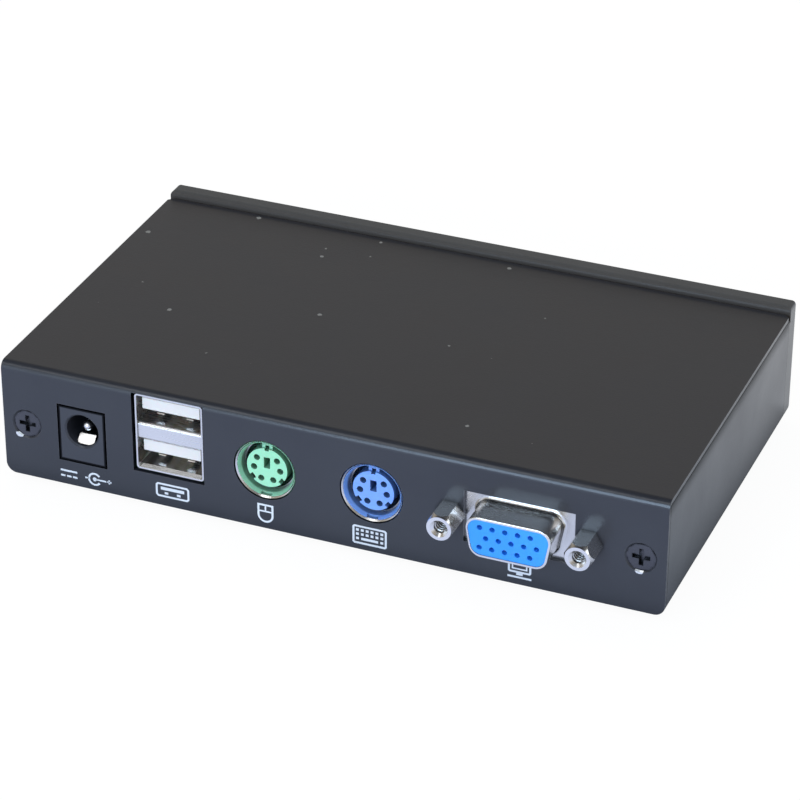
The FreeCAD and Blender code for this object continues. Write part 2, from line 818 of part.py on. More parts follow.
# USB stack: folded shell with a flared mouth, a folded divider, a moulded block with two tongues,
# eight contacts.
def usb_stack():
    low = usb_lift
    high = usb_lift + usb_height
    half = usb_width / 2
    wall = usb_wall
    block_end = usb_mouth_depth + usb_block_depth
    neck = usb_setback + usb_flare_depth
    inner = usb_width - 2 * wall
    inner_corner = usb_corner - wall
    middle = (low + high) / 2
    outside = rectangle(0, middle, usb_width, usb_height, usb_corner)
    inside = rectangle(0, middle, inner, usb_height - 2 * wall, inner_corner)
    shell = prism(outside, "XZ", neck, block_end + wall).cut(prism(inside, "XZ", 0, block_end))
    shell = shell.cut(block(-inner / 2, inner / 2, usb_mouth_depth, block_end, low - 1, middle))
    leg_y = usb_mouth_depth + usb_leg_width
    legs = [block(x, x + wall, leg_y, leg_y + usb_leg_width, 0, low + usb_corner)
            for x in (-half, half - wall)]
    mouth = funnel(usb_width, low, high, usb_corner, usb_flare_height, usb_setback, neck)
    mouth = mouth.cut(funnel(inner, low + wall, high - wall, inner_corner, usb_flare_height, usb_setback,
                             neck))
    springs = [usb_spring(side * usb_spring_pitch / 2, low + wall / 2) for side in (-1, 1)]
    shell = fused([shell, mouth] + legs + springs)

    plate_low = low + wall + usb_port_height
    plate_high = plate_low + usb_divider_height
    round_out = 2 * wall
    end = usb_mouth_depth - thread_play
    front = usb_setback + wall
    section = [(end, plate_low, 0), (end, plate_low + wall, 0),
               (front + wall, plate_low + wall, round_out - wall),
               (front + wall, plate_high - wall, round_out - wall), (end, plate_high - wall, 0),
               (end, plate_high, 0), (front, plate_high, round_out), (front, plate_low, round_out)]
    plate_half = inner / 2 - thread_play
    divider = prism(section, "YZ", -plate_half, plate_half)
    upper_springs = [usb_spring(side * usb_spring_pitch / 2, plate_high - wall / 2) for side in (-1, 1)]
    divider = fused([divider] + upper_springs)

    top = high - wall - thread_play
    rear = [(-plate_half, 0, 0), (plate_half, 0, 0), (plate_half, top, inner_corner),
            (-plate_half, top, inner_corner)]
    insulator = prism(rear, "XZ", usb_mouth_depth, block_end - thread_play)
    contacts = []
    tails = []
    tongue_half = inner / 2 - usb_tongue_side_gap
    for port, ceiling in enumerate((plate_low, high - wall)):
        top = ceiling - usb_tongue_gap
        bottom = top - usb_tongue_thickness
        front = usb_setback + usb_tongue_setback
        tongue = block(-tongue_half, tongue_half, front, usb_mouth_depth, bottom, top)
        insulator = insulator.fuse(tongue)
        level = bottom - contact_thickness / 2
        leg_y = usb_mouth_depth + (1 + 2 * port) * usb_block_depth / 4
        for way in usb_ways:
            path = [(front + 2 * wall, level), (leg_y, level), (leg_y, tail_end)]
            contacts.append(bent_strip(path, contact_thickness, way, wide_contact))
            tails.append((way, leg_y, wide_contact / 2))
    insulator = insulator.removeSplitter().cut(Part.makeCompound(contacts))
    pieces = {"shell": [shell], "divider": [divider], "insulator": [insulator], "contacts": contacts}
    return pieces, tails


# Round socket: moulded block with ring and insert, a slit shield tube in the groove, six contacts.
def din_socket():
    centre = din_centre_height
    front = sheet + din_panel_gap
    end = front + din_depth
    half = din_width / 2
    crown = din_panel_gap + contact_thickness
    body = prism([(-half, 0, 0), (half, 0, 0), (half, din_height, crown), (-half, din_height, crown)],
                 "XZ", front,
                 end)
    ring = rod_y(0, din_ring_setback, front + 1, centre, din_ring_radius)
    body = fused([body, ring])
    bore_end = din_ring_setback + din_bore_depth
    insert_front = din_ring_setback + din_insert_setback
    insert = rod_y(0, insert_front, bore_end, centre, din_insert_radius)
    key_half = din_key_width / 2
    key = block(-key_half, key_half, din_ring_setback + din_key_setback, bore_end, centre,
                centre + din_bore_radius + din_panel_gap)
    groove = rod_y(0, din_ring_setback - 1, bore_end, centre, din_bore_radius).cut(insert).cut(key)
    body = body.cut(groove)
    mouth = Part.makeCone(din_ring_radius - din_ring_land, din_bore_radius, din_mouth_depth,
                          Vector(0, din_ring_setback, centre),
                          Vector(0, 1, 0))
    body = body.cut(mouth.cut(insert).cut(key))
    cuts = []
    for angle in (din_notch_angle, -din_notch_angle):
        notch = block(-din_notch_width / 2, din_notch_width / 2, insert_front - 1,
                      insert_front + din_notch_length,
                      din_insert_radius - din_notch_depth, din_insert_radius + contact_thickness)
        cuts.append(turned(notch, Vector(0, 1, 0), angle, Vector(0, 0, centre)))
    notch_half = din_key_notch_width / 2
    notch_foot = centre + din_insert_radius - din_key_notch_height / 2
    cuts.append(block(-notch_half, notch_half, insert_front - 1, insert_front + din_notch_length,
                      notch_foot, notch_foot + din_key_notch_height))
    slot_middle = centre + din_slot_rise
    cuts.append(block(-din_slot_width / 2, din_slot_width / 2, insert_front - 1,
                      insert_front + din_notch_length,
                      slot_middle - din_slot_height / 2, slot_middle + din_slot_height / 2))
    keyway = din_keyway_width / 2
    cuts.append(block(-keyway, keyway, 0, front, centre - din_ring_radius - 1,
                      centre - din_ring_radius + din_keyway_height))
    contacts = []
    tails = []
    for order, (reach_x, reach_z) in enumerate(din_ways):
        leg = end - (order + 1) * din_leg_pitch + contact_thickness
        for side in (-1, 1):
            x = side * reach_x
            z = centre + reach_z
            cuts.append(rod_y(x, insert_front - 1, insert_front + din_hole_depth, z, din_hole_radius))
            path = [(insert_front + din_hole_depth / 2, z), (leg, z), (leg, tail_end)]
            contacts.append(bent_strip(path, contact_thickness, x, din_contact_width))
            tails.append((x, leg, din_contact_width / 2))
    body = body.cut(Part.makeCompound(cuts))
    outer = din_bore_radius - din_shield_play
    shield_front = din_ring_setback + din_shield_setback
    shield = rod_y(0, shield_front, bore_end - din_shield_play, centre, outer).cut(
        rod_y(0, 0, bore_end, centre, outer - din_shield_thickness))
    slit_half = key_half + 2 * din_shield_play
    shield = shield.cut(block(-slit_half, slit_half, 0, bore_end, centre, centre + din_bore_radius + 1))
    leg_y = bore_end - leg_pitch
    leg = block(-din_shield_leg / 2, din_shield_leg / 2, leg_y, leg_y + din_shield_thickness, tail_end,
                centre - outer + din_shield_thickness / 2)
    shield = fused([shield, leg])
    tails.append((0, leg_y + din_shield_thickness / 2, din_shield_leg / 2))
    body = body.cut(Part.makeCompound(contacts)).cut(leg)
    return {"body": [body], "shield": [shield], "contacts": contacts}, tails


# Corners of the D-shaped section, drawn in by a margin, with its wide side up.
def dsub_outline(margin):
    half_height = dsub_shell_height / 2 - margin
    lean = math.tan(math.radians(dsub_shell_slope))
    upper = dsub_shell_width / 2 - margin
    lower = upper - 2 * half_height * lean
    radius = dsub_shell_corner - margin
    low = dsub_centre_height - half_height
    high = dsub_centre_height + half_height
    return [(-lower, low, radius), (lower, low, radius), (upper, high, radius), (-upper, high, radius)]


# Video socket: flange with a D-shaped shell, a moulded core, fifteen contacts, two brackets, two
# jackscrews.
def dsub_socket():
    centre = dsub_centre_height
    back = sheet + dsub_flange_thickness
    plate = rectangle(0, centre, dsub_flange_width, dsub_flange_height, dsub_flange_corner)
    tube = prism(dsub_outline(0), "XZ", -dsub_shell_proud, sheet)
    rim = [edge for edge in tube.Edges if edge.BoundBox.YMax < -dsub_shell_proud + 0.01]
    tube = tube.makeFillet(dsub_shell_wall / 2, rim)
    shell = fused([prism(plate, "XZ", sheet, back), tube])
    reach = dsub_shell_width / 2 + thread_play
    root = [edge for edge in shell.Edges
            if abs(edge.BoundBox.Center.y - sheet) < thread_play and edge.BoundBox.YLength < thread_play
            and edge.BoundBox.XMin > -reach and edge.BoundBox.XMax < reach]
    shell = shell.makeFillet(dsub_root_fillet, root)
    shell = shell.cut(prism(dsub_outline(dsub_shell_wall), "XZ", -dsub_shell_proud - 1, back + 1))
    screw_lines = (-dsub_screw_pitch / 2, dsub_screw_pitch / 2)
    for x in screw_lines:
        shell = shell.cut(rod_y(x, 0, back + 1, centre, thread_radius + thread_play))

    face = -dsub_shell_proud + dsub_core_setback
    core = prism(dsub_outline(dsub_shell_wall + dsub_core_gap), "XZ", face, back + 1)
    half = dsub_block_width / 2
    top = centre + dsub_flange_height / 2
    rear_end = back + dsub_block_depth
    rear = [(back, 0, 0), (rear_end, 0, 0), (rear_end, centre, dsub_block_round),
            (rear_end - leg_pitch, top, dsub_block_round), (back, top, 0)]
    insulator = fused([core, prism(rear, "YZ", -half, half)])
    contacts = []
    holes = []
    tails = []
    for row in range(3):
        shift = dsub_way_pitch / 4 if row == 1 else -dsub_way_pitch / 4
        leg = rear_end - leg_pitch / 2 - row * leg_pitch
        for way in range(-2, 3):
            x = way * dsub_way_pitch + shift
            z = centre + (1 - row) * dsub_row_pitch
            holes.append(rod_y(x, face - 1, face + dsub_hole_depth, z, dsub_hole_radius))
            path = [(face + dsub_hole_depth / 2, z), (leg, z), (leg, tail_end)]
            contacts.append(bent_strip(path, contact_thickness, x, narrow_contact))
            tails.append((x, leg, narrow_contact / 2))
    insulator = insulator.cut(Part.makeCompound(holes)).cut(Part.makeCompound(contacts))

    brackets = []
    jackscrews = []
    thick = dsub_bracket_thickness
    for x in screw_lines:
        section = [(back, 0, 0), (back + dsub_bracket_depth, 0, 0), (back + dsub_bracket_depth, thick, 0),
                   (back + thick, thick, 0), (back + thick, dsub_bracket_height, 0),
                   (back, dsub_bracket_height, 0)]
        bracket = prism(section, "YZ", x - dsub_bracket_width / 2, x + dsub_bracket_width / 2)
        peg_y = back + dsub_peg_place
        bracket = fused([bracket, rod_z(x, peg_y, tail_end, thick / 2, dsub_peg_radius)])
        brackets.append(bracket.cut(rod_y(x, 0, back + 2 * thick, centre,
                                          jackscrew_shank_radius + thread_play)))
        tails.append((x, peg_y, dsub_peg_radius))
        jackscrews.append(jackscrew(x, centre))
    pieces = {"shell": [shell], "insulator": [insulator], "contacts": contacts, "brackets": brackets,
              "jackscrews": jackscrews}
    return pieces, tails


# Hexagonal jackscrew: it stands on the sheet, its shank holds the flange, and its end is tapped for
# the plug.
def jackscrew(x, z):
    corner = jackscrew_across_flats / math.sqrt(3)
    corners = []
    for side in range(6):
        angle = math.radians(60 * side)
        corners.append((x + corner * math.cos(angle), z + corner * math.sin(angle), 0))
    hexagon = prism(corners, "XZ", -jackscrew_length, 0)
    envelope = Part.makeCone(corner - jackscrew_chamfer, corner, jackscrew_chamfer_length,
                             Vector(x, -jackscrew_length, z),
                             Vector(0, 1, 0))
    envelope = envelope.fuse(rod_y(x, jackscrew_chamfer_length - jackscrew_length, 0, z, corner))
    hexagon = hexagon.common(envelope)
    screw = fused([hexagon, rod_y(x, 0, jackscrew_shank_length, z, jackscrew_shank_radius)])
    mouth = Part.makeCone(jackscrew_mouth_radius, jackscrew_thread_radius, jackscrew_mouth_depth,
                          Vector(x, -jackscrew_length, z),
                          Vector(0, 1, 0))
    thread_end = jackscrew_thread_depth - jackscrew_length
    return screw.cut(mouth).cut(rod_y(x, -jackscrew_length - 1, thread_end, z, jackscrew_thread_radius))


# Stepped mouth of the modular socket: plug space, latch space and latch notch.
def link_mouth(margin):
    base = link_mouth_base - margin
    plug = link_mouth_base + link_mouth_height + margin
    latch = plug + link_latch_height
    notch = latch + link_notch_height
    wide = link_mouth_width / 2 + margin
    mid = link_latch_width / 2 + margin
    thin = link_notch_width / 2 + margin
    return [(-wide, base, 0), (wide, base, 0), (wide, plug, 0), (mid, plug, 0), (mid, latch, 0),
            (thin, latch, 0),
            (thin, notch, 0), (-thin, notch, 0), (-thin, latch, 0), (-mid, latch, 0), (-mid, plug, 0),
            (-wide, plug, 0)]


# Modular socket: moulded housing in a folded shield, eight sprung wires.
def link_socket():
    wall = link_wall
    half = link_width / 2
    play = thread_play
    shield = block(-half, half, 0, link_depth, 0, link_height)
    shield = shield.cut(block(-half + wall, half - wall, wall, link_depth - wall, -1, link_height - wall))
    shield = shield.cut(prism(link_mouth(play), "XZ", -1, wall + 1))
    housing = block(-half + wall + play, half - wall - play, wall + play, link_depth - wall - play, 0,
                    link_height - wall - play)
    housing = housing.cut(prism(link_mouth(0), "XZ", -1, link_mouth_depth))
    comb_half = 4.5 * link_way_pitch
    low = link_mouth_base / 2
    housing = housing.cut(block(-comb_half, comb_half, link_comb_setback, link_mouth_depth - leg_pitch,
                                low - contact_thickness, link_mouth_base + 1))
    contacts = []
    tails = []
    turn = 2 * contact_thickness
    front = link_comb_setback + turn
    for way in range(8):
        x = (way - 3.5) * link_way_pitch
        leg = link_mouth_depth - leg_pitch / 2 + (way % 2) * leg_pitch
        path = [(leg, tail_end), (leg, low), (front + turn, low), (front, low + turn),
                (front + turn, low + 2 * turn),
                (link_mouth_depth - leg_pitch, link_mouth_base + link_wire_rise)]
        contacts.append(bent_strip(path, contact_thickness, x, link_wire_width))
        tails.append((x, leg, link_wire_width / 2))
    housing = housing.cut(Part.makeCompound(contacts))
    return {"shield": [shield], "body": [housing], "contacts": contacts}, tails


# Square USB socket: shell, moulded block with a tongue in its mouth, four contacts.
def hub_socket():
    wall = hub_wall
    half = hub_width / 2
    play = thread_play
    middle = hub_height / 2
    cut = hub_mouth_chamfer
    mouth_half = hub_mouth_width / 2
    mouth_low = middle - hub_mouth_height / 2
    mouth_high = middle + hub_mouth_height / 2
    mouth = [(-mouth_half, mouth_low, 0), (mouth_half, mouth_low, 0), (mouth_half, mouth_high - cut, 0),
             (mouth_half - cut, mouth_high, 0), (-mouth_half + cut, mouth_high, 0),
             (-mouth_half, mouth_high - cut, 0)]
    shell = block(-half, half, 0, hub_depth, 0, hub_height)
    shell = shell.cut(block(-half + wall, half - wall, wall, hub_depth - wall, -1, hub_height - wall))
    shell = shell.cut(prism(mouth, "XZ", -1, wall + 1))
    insulator = block(-half + wall + play, half - wall - play, wall + play, hub_depth - wall - play, 0,
                      hub_height - wall - play)
    insulator = insulator.cut(prism(mouth, "XZ", -1, hub_mouth_depth))
    tongue = block(-hub_tongue_width / 2, hub_tongue_width / 2, hub_tongue_setback, hub_mouth_depth + 1,
                   middle - hub_tongue_height / 2, middle + hub_tongue_height / 2)
    insulator = fused([insulator, tongue])
    contacts = []
    tails = []
    reach = hub_tongue_height / 2 + contact_thickness / 2
    for row, level in enumerate((middle - reach, middle + reach)):
        leg = hub_mouth_depth + 2 + row * leg_pitch
        for x in (-hub_way_pitch / 2, hub_way_pitch / 2):
            path = [(hub_tongue_setback + wide_contact, level), (leg, level), (leg, tail_end)]
            contacts.append(bent_strip(path, contact_thickness, x, wide_contact))
            tails.append((x, leg, wide_contact / 2))
    insulator = insulator.cut(Part.makeCompound(contacts))
    return {"shell": [shell], "insulator": [insulator], "contacts": contacts}, tails


# Two lamps side by side in a holder, drawn from the end wall's outer face.
def status_lamps():
    half = led_holder_width / 2
    front = -bezel_window_gap * 3
    end = front + led_holder_depth
    tip = -(bezel_front - wall_outer) - led_tip_proud
    holder = block(-half, half, front, end, 0, led_holder_height)
    lamps = []
    leads = []
    tails = []
    play = thread_play
    flange_end = end - 1
    for side in (-1, 1):
        x = side * led_pitch / 2
        profile = [(0, tip, 0), (led_radius, tip, 0.9 * led_radius),
                   (led_radius, flange_end - led_flange_thickness, 0),
                   (led_flange_radius, flange_end - led_flange_thickness, 0),
                   (led_flange_radius, flange_end, 0),
                   (0, flange_end, 0)]
        lamp = Part.Face(outline(profile, "XY", 0)).revolve(Vector(0, 0, 0), Vector(0, 1, 0), 360)
        lamp.translate(Vector(x, 0, led_height))
        lamps.append(lamp)
        holder = holder.cut(rod_y(x, front - 1, end + 1, led_height, led_radius + play))
        holder = holder.cut(rod_y(x, flange_end - led_flange_thickness - play, end + 1, led_height,
                                  led_flange_radius + play))
        for lead in (-1, 1):
            lead_x = x + lead * led_lead_pitch / 2
            path = [(flange_end, led_height), (end + 1, led_height), (end + 1, tail_end)]
            leads.append(bent_strip(path, led_lead_width, lead_x, led_lead_width))
            tails.append((lead_x, end + 1, led_lead_width / 2))
    return {"holder": [holder], "lamps": lamps, "leads": leads}, tails


# Flat package with rows of bent leads on two or four sides.
def chip(width, depth, height, leads, pitch, four_sides, x, y):
    body = block(-width / 2, width / 2, -depth / 2, depth / 2, chip_lift, chip_lift + height)
    pieces = [body]
    turns = (0, 90, 180, 270) if four_sides else (0, 180)
    per_side = leads // len(turns)
    strip = chip_lead_thickness
    for turn in turns:
        edge = width / 2 if turn in (90, 270) else depth / 2
        knee = edge + chip_lead_reach / 3
        path = [(edge - strip, height / 2), (knee, height / 2), (knee + strip, strip / 2),
                (edge + chip_lead_reach, strip / 2)]
        for lead in range(per_side):
            shift = (lead - (per_side - 1) / 2) * pitch
            pieces.append(turned(bent_strip(path, strip, shift, pitch / 2), Vector(0, 0, 1), turn,
                                 Vector(0, 0, 0)))
    solid = fused(pieces)
    solid.translate(Vector(x, y, board_top))
    return solid


# Electrolytic can with its crimped groove.
def can_capacitor(x, y):
    radius = can_radius
    middle = can_groove_height
    profile = [(0, 0, 0), (radius, 0, 0), (radius, middle - can_groove, 0),
               (radius - can_groove, middle, 0),
               (radius, middle + can_groove, 0), (radius, can_height, can_groove), (0, can_height, 0)]
    can = Part.Face(outline(profile, "XZ", 0)).revolve(Vector(0, 0, 0), Vector(0, 0, 1), 360)
    can.translate(Vector(x, y, board_top))
    return can


# Low oval crystal can.
def crystal(x, y):
    length = crystal_length
    width = crystal_width
    can = rectangle(x, y, length, width, 0.49 * width)
    width += 2 * crystal_rim
    rim = rectangle(x, y, length + 2 * crystal_rim, width, 0.49 * width)
    return fused([prism(rim, "XY", board_top, board_top + crystal_rim),
                  prism(can, "XY", board_top, board_top + crystal_height)])


def inductor(x, y):
    top = board_top + inductor_height
    base = prism(rectangle(x, y, inductor_size, inductor_size, inductor_size / 5), "XY", board_top, top)
    ring = rod_z(x, y, top - can_groove, top + 1, inductor_core_radius)
    ring = ring.cut(rod_z(x, y, top - can_groove, top + 1, inductor_core_radius - can_groove))
    return base.cut(ring)


# Regulator with three leads on one side and its tab on the other.
def regulator(x, y):
    half = regulator_depth / 2
    body = block(-regulator_width / 2, regulator_width / 2, -half, half, chip_lift,
                 chip_lift + regulator_height)
    strip = chip_lead_thickness
    middle = regulator_height / 2
    path = [(half - strip, middle), (half + 2 * strip, middle), (half + 3 * strip, strip / 2),
            (half + half, strip / 2)]
    pieces = [body, bent_strip(path, strip, 0, regulator_width / 2)]
    for shift in (-regulator_lead_pitch, 0, regulator_lead_pitch):
        lead = bent_strip(path, strip, shift, regulator_lead_pitch / 3)
        pieces.append(turned(lead, Vector(0, 0, 1), 180, Vector(0, 0, 0)))
    solid = fused(pieces)
    solid.translate(Vector(x, y, board_top))
    return solid


def chip_resistors(rows):
    pieces = []
    for x, y, count in rows:
        for step in range(count):
            left = x + step * resistor_pitch
            pieces.append(block(left, left + resistor_width, y, y + resistor_length, board_top,
                                board_top + resistor_height))
    return pieces


# Board with its screw holes and a round hole for each tail that passes through it.
def circuit_board(tails):
    half = inner_half - board_side_gap
    corners = [(-half, board_front, board_corner_radius), (half, board_front, board_corner_radius),
               (half, board_rear, board_corner_radius), (-half, board_rear, board_corner_radius)]
    board = prism(corners, "XY", board_top - board_thickness, board_top)
    holes = []
    for x, y in board_screw_places():
        holes.append(rod_z(x, y, 0, board_top + 1, thread_radius + clearance_hole_play))
    for x, y, reach in tails:
        holes.append(rod_z(x, y, 0, board_top + 1, reach + tail_hole_play))
    return board.cut(Part.makeCompound(holes))


def main():
    os.makedirs("parts", exist_ok=True)
    board_tails = []

    def place(pieces, tails, prefix, from_left, face):
        for name, shapes in pieces.items():
            if face is None:
                moved = [on_port_panel(shape, from_left) for shape in shapes]
            else:
                moved = [on_end_wall(shape, from_left, face) for shape in shapes]
            save(prefix + "_" + name, moved)
        for x, y, reach in tails:
            if face is None:
                board_tails.append((from_left - half_width + x, y, reach))
            else:
                board_tails.append((from_left - half_width - x, face - y, reach))

    save("base_tray", [base_tray()])
    save("top_cover", [top_cover()])
    save("end_bezel", [end_bezel()])
    save("panel_screws", panel_screws())
    save("bezel_screws", bezel_screws())
    save("board_screws", board_screws())
    save("board_standoffs", board_standoffs())
    save("rubber_feet", rubber_feet())

    place(*power_jack(), "power_jack", power_x, None)
    place(*usb_stack(), "usb_stack", usb_x, None)
    round_pieces, round_tails = din_socket()
    place(round_pieces, round_tails, "mouse_socket", mouse_x, None)
    place(round_pieces, round_tails, "keyboard_socket", keyboard_x, None)
    video_pieces, video_tails = dsub_socket()
    place(video_pieces, video_tails, "monitor_socket", monitor_x, None)
    place(video_pieces, video_tails, "computer_video", video_x, wall_outer)
    place(*link_socket(), "link_socket", link_x, bezel_front - end_socket_setback)
    place(*hub_socket(), "computer_usb", hub_x, bezel_front - end_socket_setback)
    place(*status_lamps(), "status", led_x, wall_outer)
    save("circuit_board", [circuit_board(board_tails)])

    middle = (board_front + board_rear) / 2
    save("main_controller", [chip(controller_size, controller_size, controller_height,
                                  controller_lead_count, controller_pitch, True, 0, middle)])
    save("line_drivers", [chip(driver_width, driver_depth, driver_height, driver_lead_count,
                               driver_pitch, False, first_driver_shift + driver_spacing * step, middle)
                          for step in range(driver_count)])
    save("controller_crystal", [crystal(crystal_shift, middle + crystal_row)])
    board_left = board_side_gap - inner_half
    front_row = middle + power_front_row
    back_row = middle + power_back_row
    save("voltage_regulator", [regulator(board_left + regulator_inset, front_row)])
    save("filter_capacitors", [can_capacitor(board_left + first_can_inset, front_row),
                               can_capacitor(board_left + second_can_inset, front_row),
                               can_capacitor(board_left + second_can_inset, back_row)])
    save("power_inductor", [inductor(board_left + inductor_inset, back_row)])
    rows = [(controller_resistors, controller_resistor_count), (driver_resistors, driver_resistor_count),
            (crystal_resistors, crystal_resistor_count)]
    save("chip_resistors", chip_resistors([(x, middle + y, count) for (x, y), count in rows]))
    print("case", round(case_width, 3), round(case_depth, 3), round(case_height, 3))
    print("origin shift", tuple(origin_shift))


main()
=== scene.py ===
import json
import math

import bpy
import bmesh
import numpy as np
from mathutils import Matrix, Vector


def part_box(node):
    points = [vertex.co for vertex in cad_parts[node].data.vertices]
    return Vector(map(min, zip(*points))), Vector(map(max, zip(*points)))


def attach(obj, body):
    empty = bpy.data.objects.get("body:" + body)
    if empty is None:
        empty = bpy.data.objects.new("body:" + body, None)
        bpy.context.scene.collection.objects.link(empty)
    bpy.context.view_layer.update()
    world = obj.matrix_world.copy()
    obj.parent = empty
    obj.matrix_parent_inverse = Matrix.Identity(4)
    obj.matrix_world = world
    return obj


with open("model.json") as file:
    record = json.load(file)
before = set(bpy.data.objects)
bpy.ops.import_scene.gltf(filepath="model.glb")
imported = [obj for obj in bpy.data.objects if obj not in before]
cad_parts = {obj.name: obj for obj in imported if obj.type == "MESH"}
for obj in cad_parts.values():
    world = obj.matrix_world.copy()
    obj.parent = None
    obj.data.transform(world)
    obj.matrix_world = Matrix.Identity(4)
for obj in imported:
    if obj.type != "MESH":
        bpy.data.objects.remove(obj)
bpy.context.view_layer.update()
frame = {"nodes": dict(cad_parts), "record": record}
nodes = frame["nodes"]
mm = 0.001
print("frame loaded,", len(nodes), "nodes")


# Camera.
cameraValues = {
    "place": (0.20077, -0.49541, 0.32232),  # metres, in the part's frame
    "azimuth": 22.035,  # degrees, 0 looks along +Y
    "elevation": 30.161,
    "roll": 0.2,
    "lens": 152.8,  # mm
    "sensor": 36,  # mm
}


def setCamera(values):  # turned by azimuth and elevation, then rolled about its line of sight
    a, e, r = (math.radians(values[key]) for key in ("azimuth", "elevation", "roll"))
    back = Vector((math.sin(a) * math.cos(e), -math.cos(a) * math.cos(e), math.sin(e)))
    level = Vector((math.cos(a), math.sin(a), 0))
    right = level * math.cos(r) + back.cross(level) * math.sin(r)
    turn = Matrix((right, back.cross(right), back)).transposed().to_4x4()
    data = bpy.data.cameras.new("photoCamera")
    data.sensor_width = values["sensor"]
    data.lens = values["lens"]
    camera = bpy.data.objects.new("photoCamera", data)
    camera.matrix_world = Matrix.Translation(values["place"]) @ turn
    bpy.context.scene.collection.objects.link(camera)
    bpy.context.scene.camera = camera


setCamera(cameraValues)
print("camera set")


# Node helpers.
def addNode(tree, kind, links=None, **settings):
    node = tree.nodes.new("ShaderNode" + kind)
    for key, value in settings.items():
        setattr(node, key, value)
    for key, source in (links or {}).items():
        if isinstance(source, bpy.types.NodeSocket):
            tree.links.new(source, node.inputs[key])
        else:
            node.inputs[key].default_value = source
    return node


def mathNode(tree, operation, a, b=0.0, clamp=False):
    return addNode(tree, "Math", {0: a, 1: b}, operation=operation, use_clamp=clamp).outputs[0]


def vectorMath(tree, operation, a, b=(0, 0, 0), output="Vector"):
    return addNode(tree, "VectorMath", {0: a, 1: b}, operation=operation).outputs[output]


def split(tree, vector):
    return addNode(tree, "SeparateXYZ", {0: vector}).outputs


def facing(tree):  # the normal's X, Y and Z
    return split(tree, addNode(tree, "NewGeometry").outputs["Normal"])


def distance(tree, a, b, flatten):  # between two places, with each axis drawn out or left out
    away = vectorMath(tree, "SUBTRACT", a, b)
    return vectorMath(tree, "LENGTH", vectorMath(tree, "MULTIPLY", away, flatten), output="Value")


def noiseOf(tree, vector, scale, detail=2.0):
    return addNode(tree, "TexNoise", {"Vector": vector, "Scale": scale, "Detail": detail}).outputs


def mixColour(tree, amount, a, b):
    return addNode(tree, "Mix", {0: amount, 6: a, 7: b}, data_type="RGBA").outputs[2]


def spread(tree, value, low, high, toLow=0.0, toHigh=1.0):
    links = {"Value": value, "From Min": low, "From Max": high, "To Min": toLow, "To Max": toHigh}
    return addNode(tree, "MapRange", links).outputs[0]


def newGroup(name, vectors, numbers):
    group = bpy.data.node_groups.new(name, "ShaderNodeTree")
    for labels, kind in ((vectors, "Vector"), (numbers, "Float")):
        for label in labels:
            group.interface.new_socket(name=label, in_out="INPUT", socket_type="NodeSocket" + kind)
    group.interface.new_socket(name="Value", in_out="OUTPUT", socket_type="NodeSocketFloat")
    return group, group.nodes.new("NodeGroupInput").outputs, group.nodes.new("NodeGroupOutput").inputs[0]


def rgba(colour):
    return (*colour, 1.0)


# Shared effects.
effectValues = {
    "broadScale": 0.23,  # the grain's second noise: its scale beside the first
    "broadShare": 0.6,  # and its height
    "edgeAlike": (0.995, 0.8),  # how alike the rounded and the plain normal are, from no edge tone to full
    "edgeNoiseScale": 900,  # of the noise that breaks it up
    "edgeNoiseSpread": (0.38, 0.6),  # that noise where the edge tone starts and is whole
    "fleckWobble": (2500.0, 0.0004),  # scale and reach, metres
    "fleckSize": 0.4,  # least size beside the given one, which is in cells
    "fleckUpward": (0.2, 0.9, 0.12),  # normal's height where flecks begin and are whole, their least share
    "softNoise": (0.3, 0.7),  # part of a noise that is spread over 0 to 1
    "openness": (0.3, 0.9),  # from a closed hollow to the open
    "sideways": 0.8,  # least length of the normal along X on a face that looks sideways
    "seamEdge": 0.0001,  # metres that the seam's shade goes on above its height
    "frontward": (-0.15, -0.9),  # normal along Y, from beside to the front
    "spotFlat": (0.62, 1.0, 1.0),  # a spot is wider along X
    "spotNoise": (2200.0, 0.5),  # scale, and the least of the spot's reach
    "rimEdge": (0.7, 1.3),  # soft step about the rim's reach
}


def makeGrain():  # fine two-step noise, as height
    group, given, out = newGroup("fineGrain", ["Vector"], ["Scale"])
    fine = noiseOf(group, given["Vector"], given["Scale"])["Fac"]
    broadScale = mathNode(group, "MULTIPLY", given["Scale"], effectValues["broadScale"])
    broad = noiseOf(group, given["Vector"], broadScale, 1.0)["Fac"]
    total = mathNode(group, "ADD", fine, mathNode(group, "MULTIPLY", broad, effectValues["broadShare"]))
    group.links.new(total, out)
    return group


def makeEdgeWearAndLight():  # 1 at outer edges, broken up by noise; the edge tone it carries is part wear, part painted light
    group, given, out = newGroup("edgeWearAndLightMask", ["Vector"], ["Width"])
    rounded = addNode(group, "Bevel", {"Radius": given["Width"]}, samples=4).outputs[0]
    plain = addNode(group, "NewGeometry").outputs["Normal"]
    alike = vectorMath(group, "DOT_PRODUCT", rounded, plain, "Value")
    edge = spread(group, alike, *effectValues["edgeAlike"])
    noise = noiseOf(group, given["Vector"], effectValues["edgeNoiseScale"], 3.0)["Fac"]
    broken = spread(group, noise, *effectValues["edgeNoiseSpread"])
    group.links.new(mathNode(group, "MULTIPLY", edge, broken, True), out)
    return group


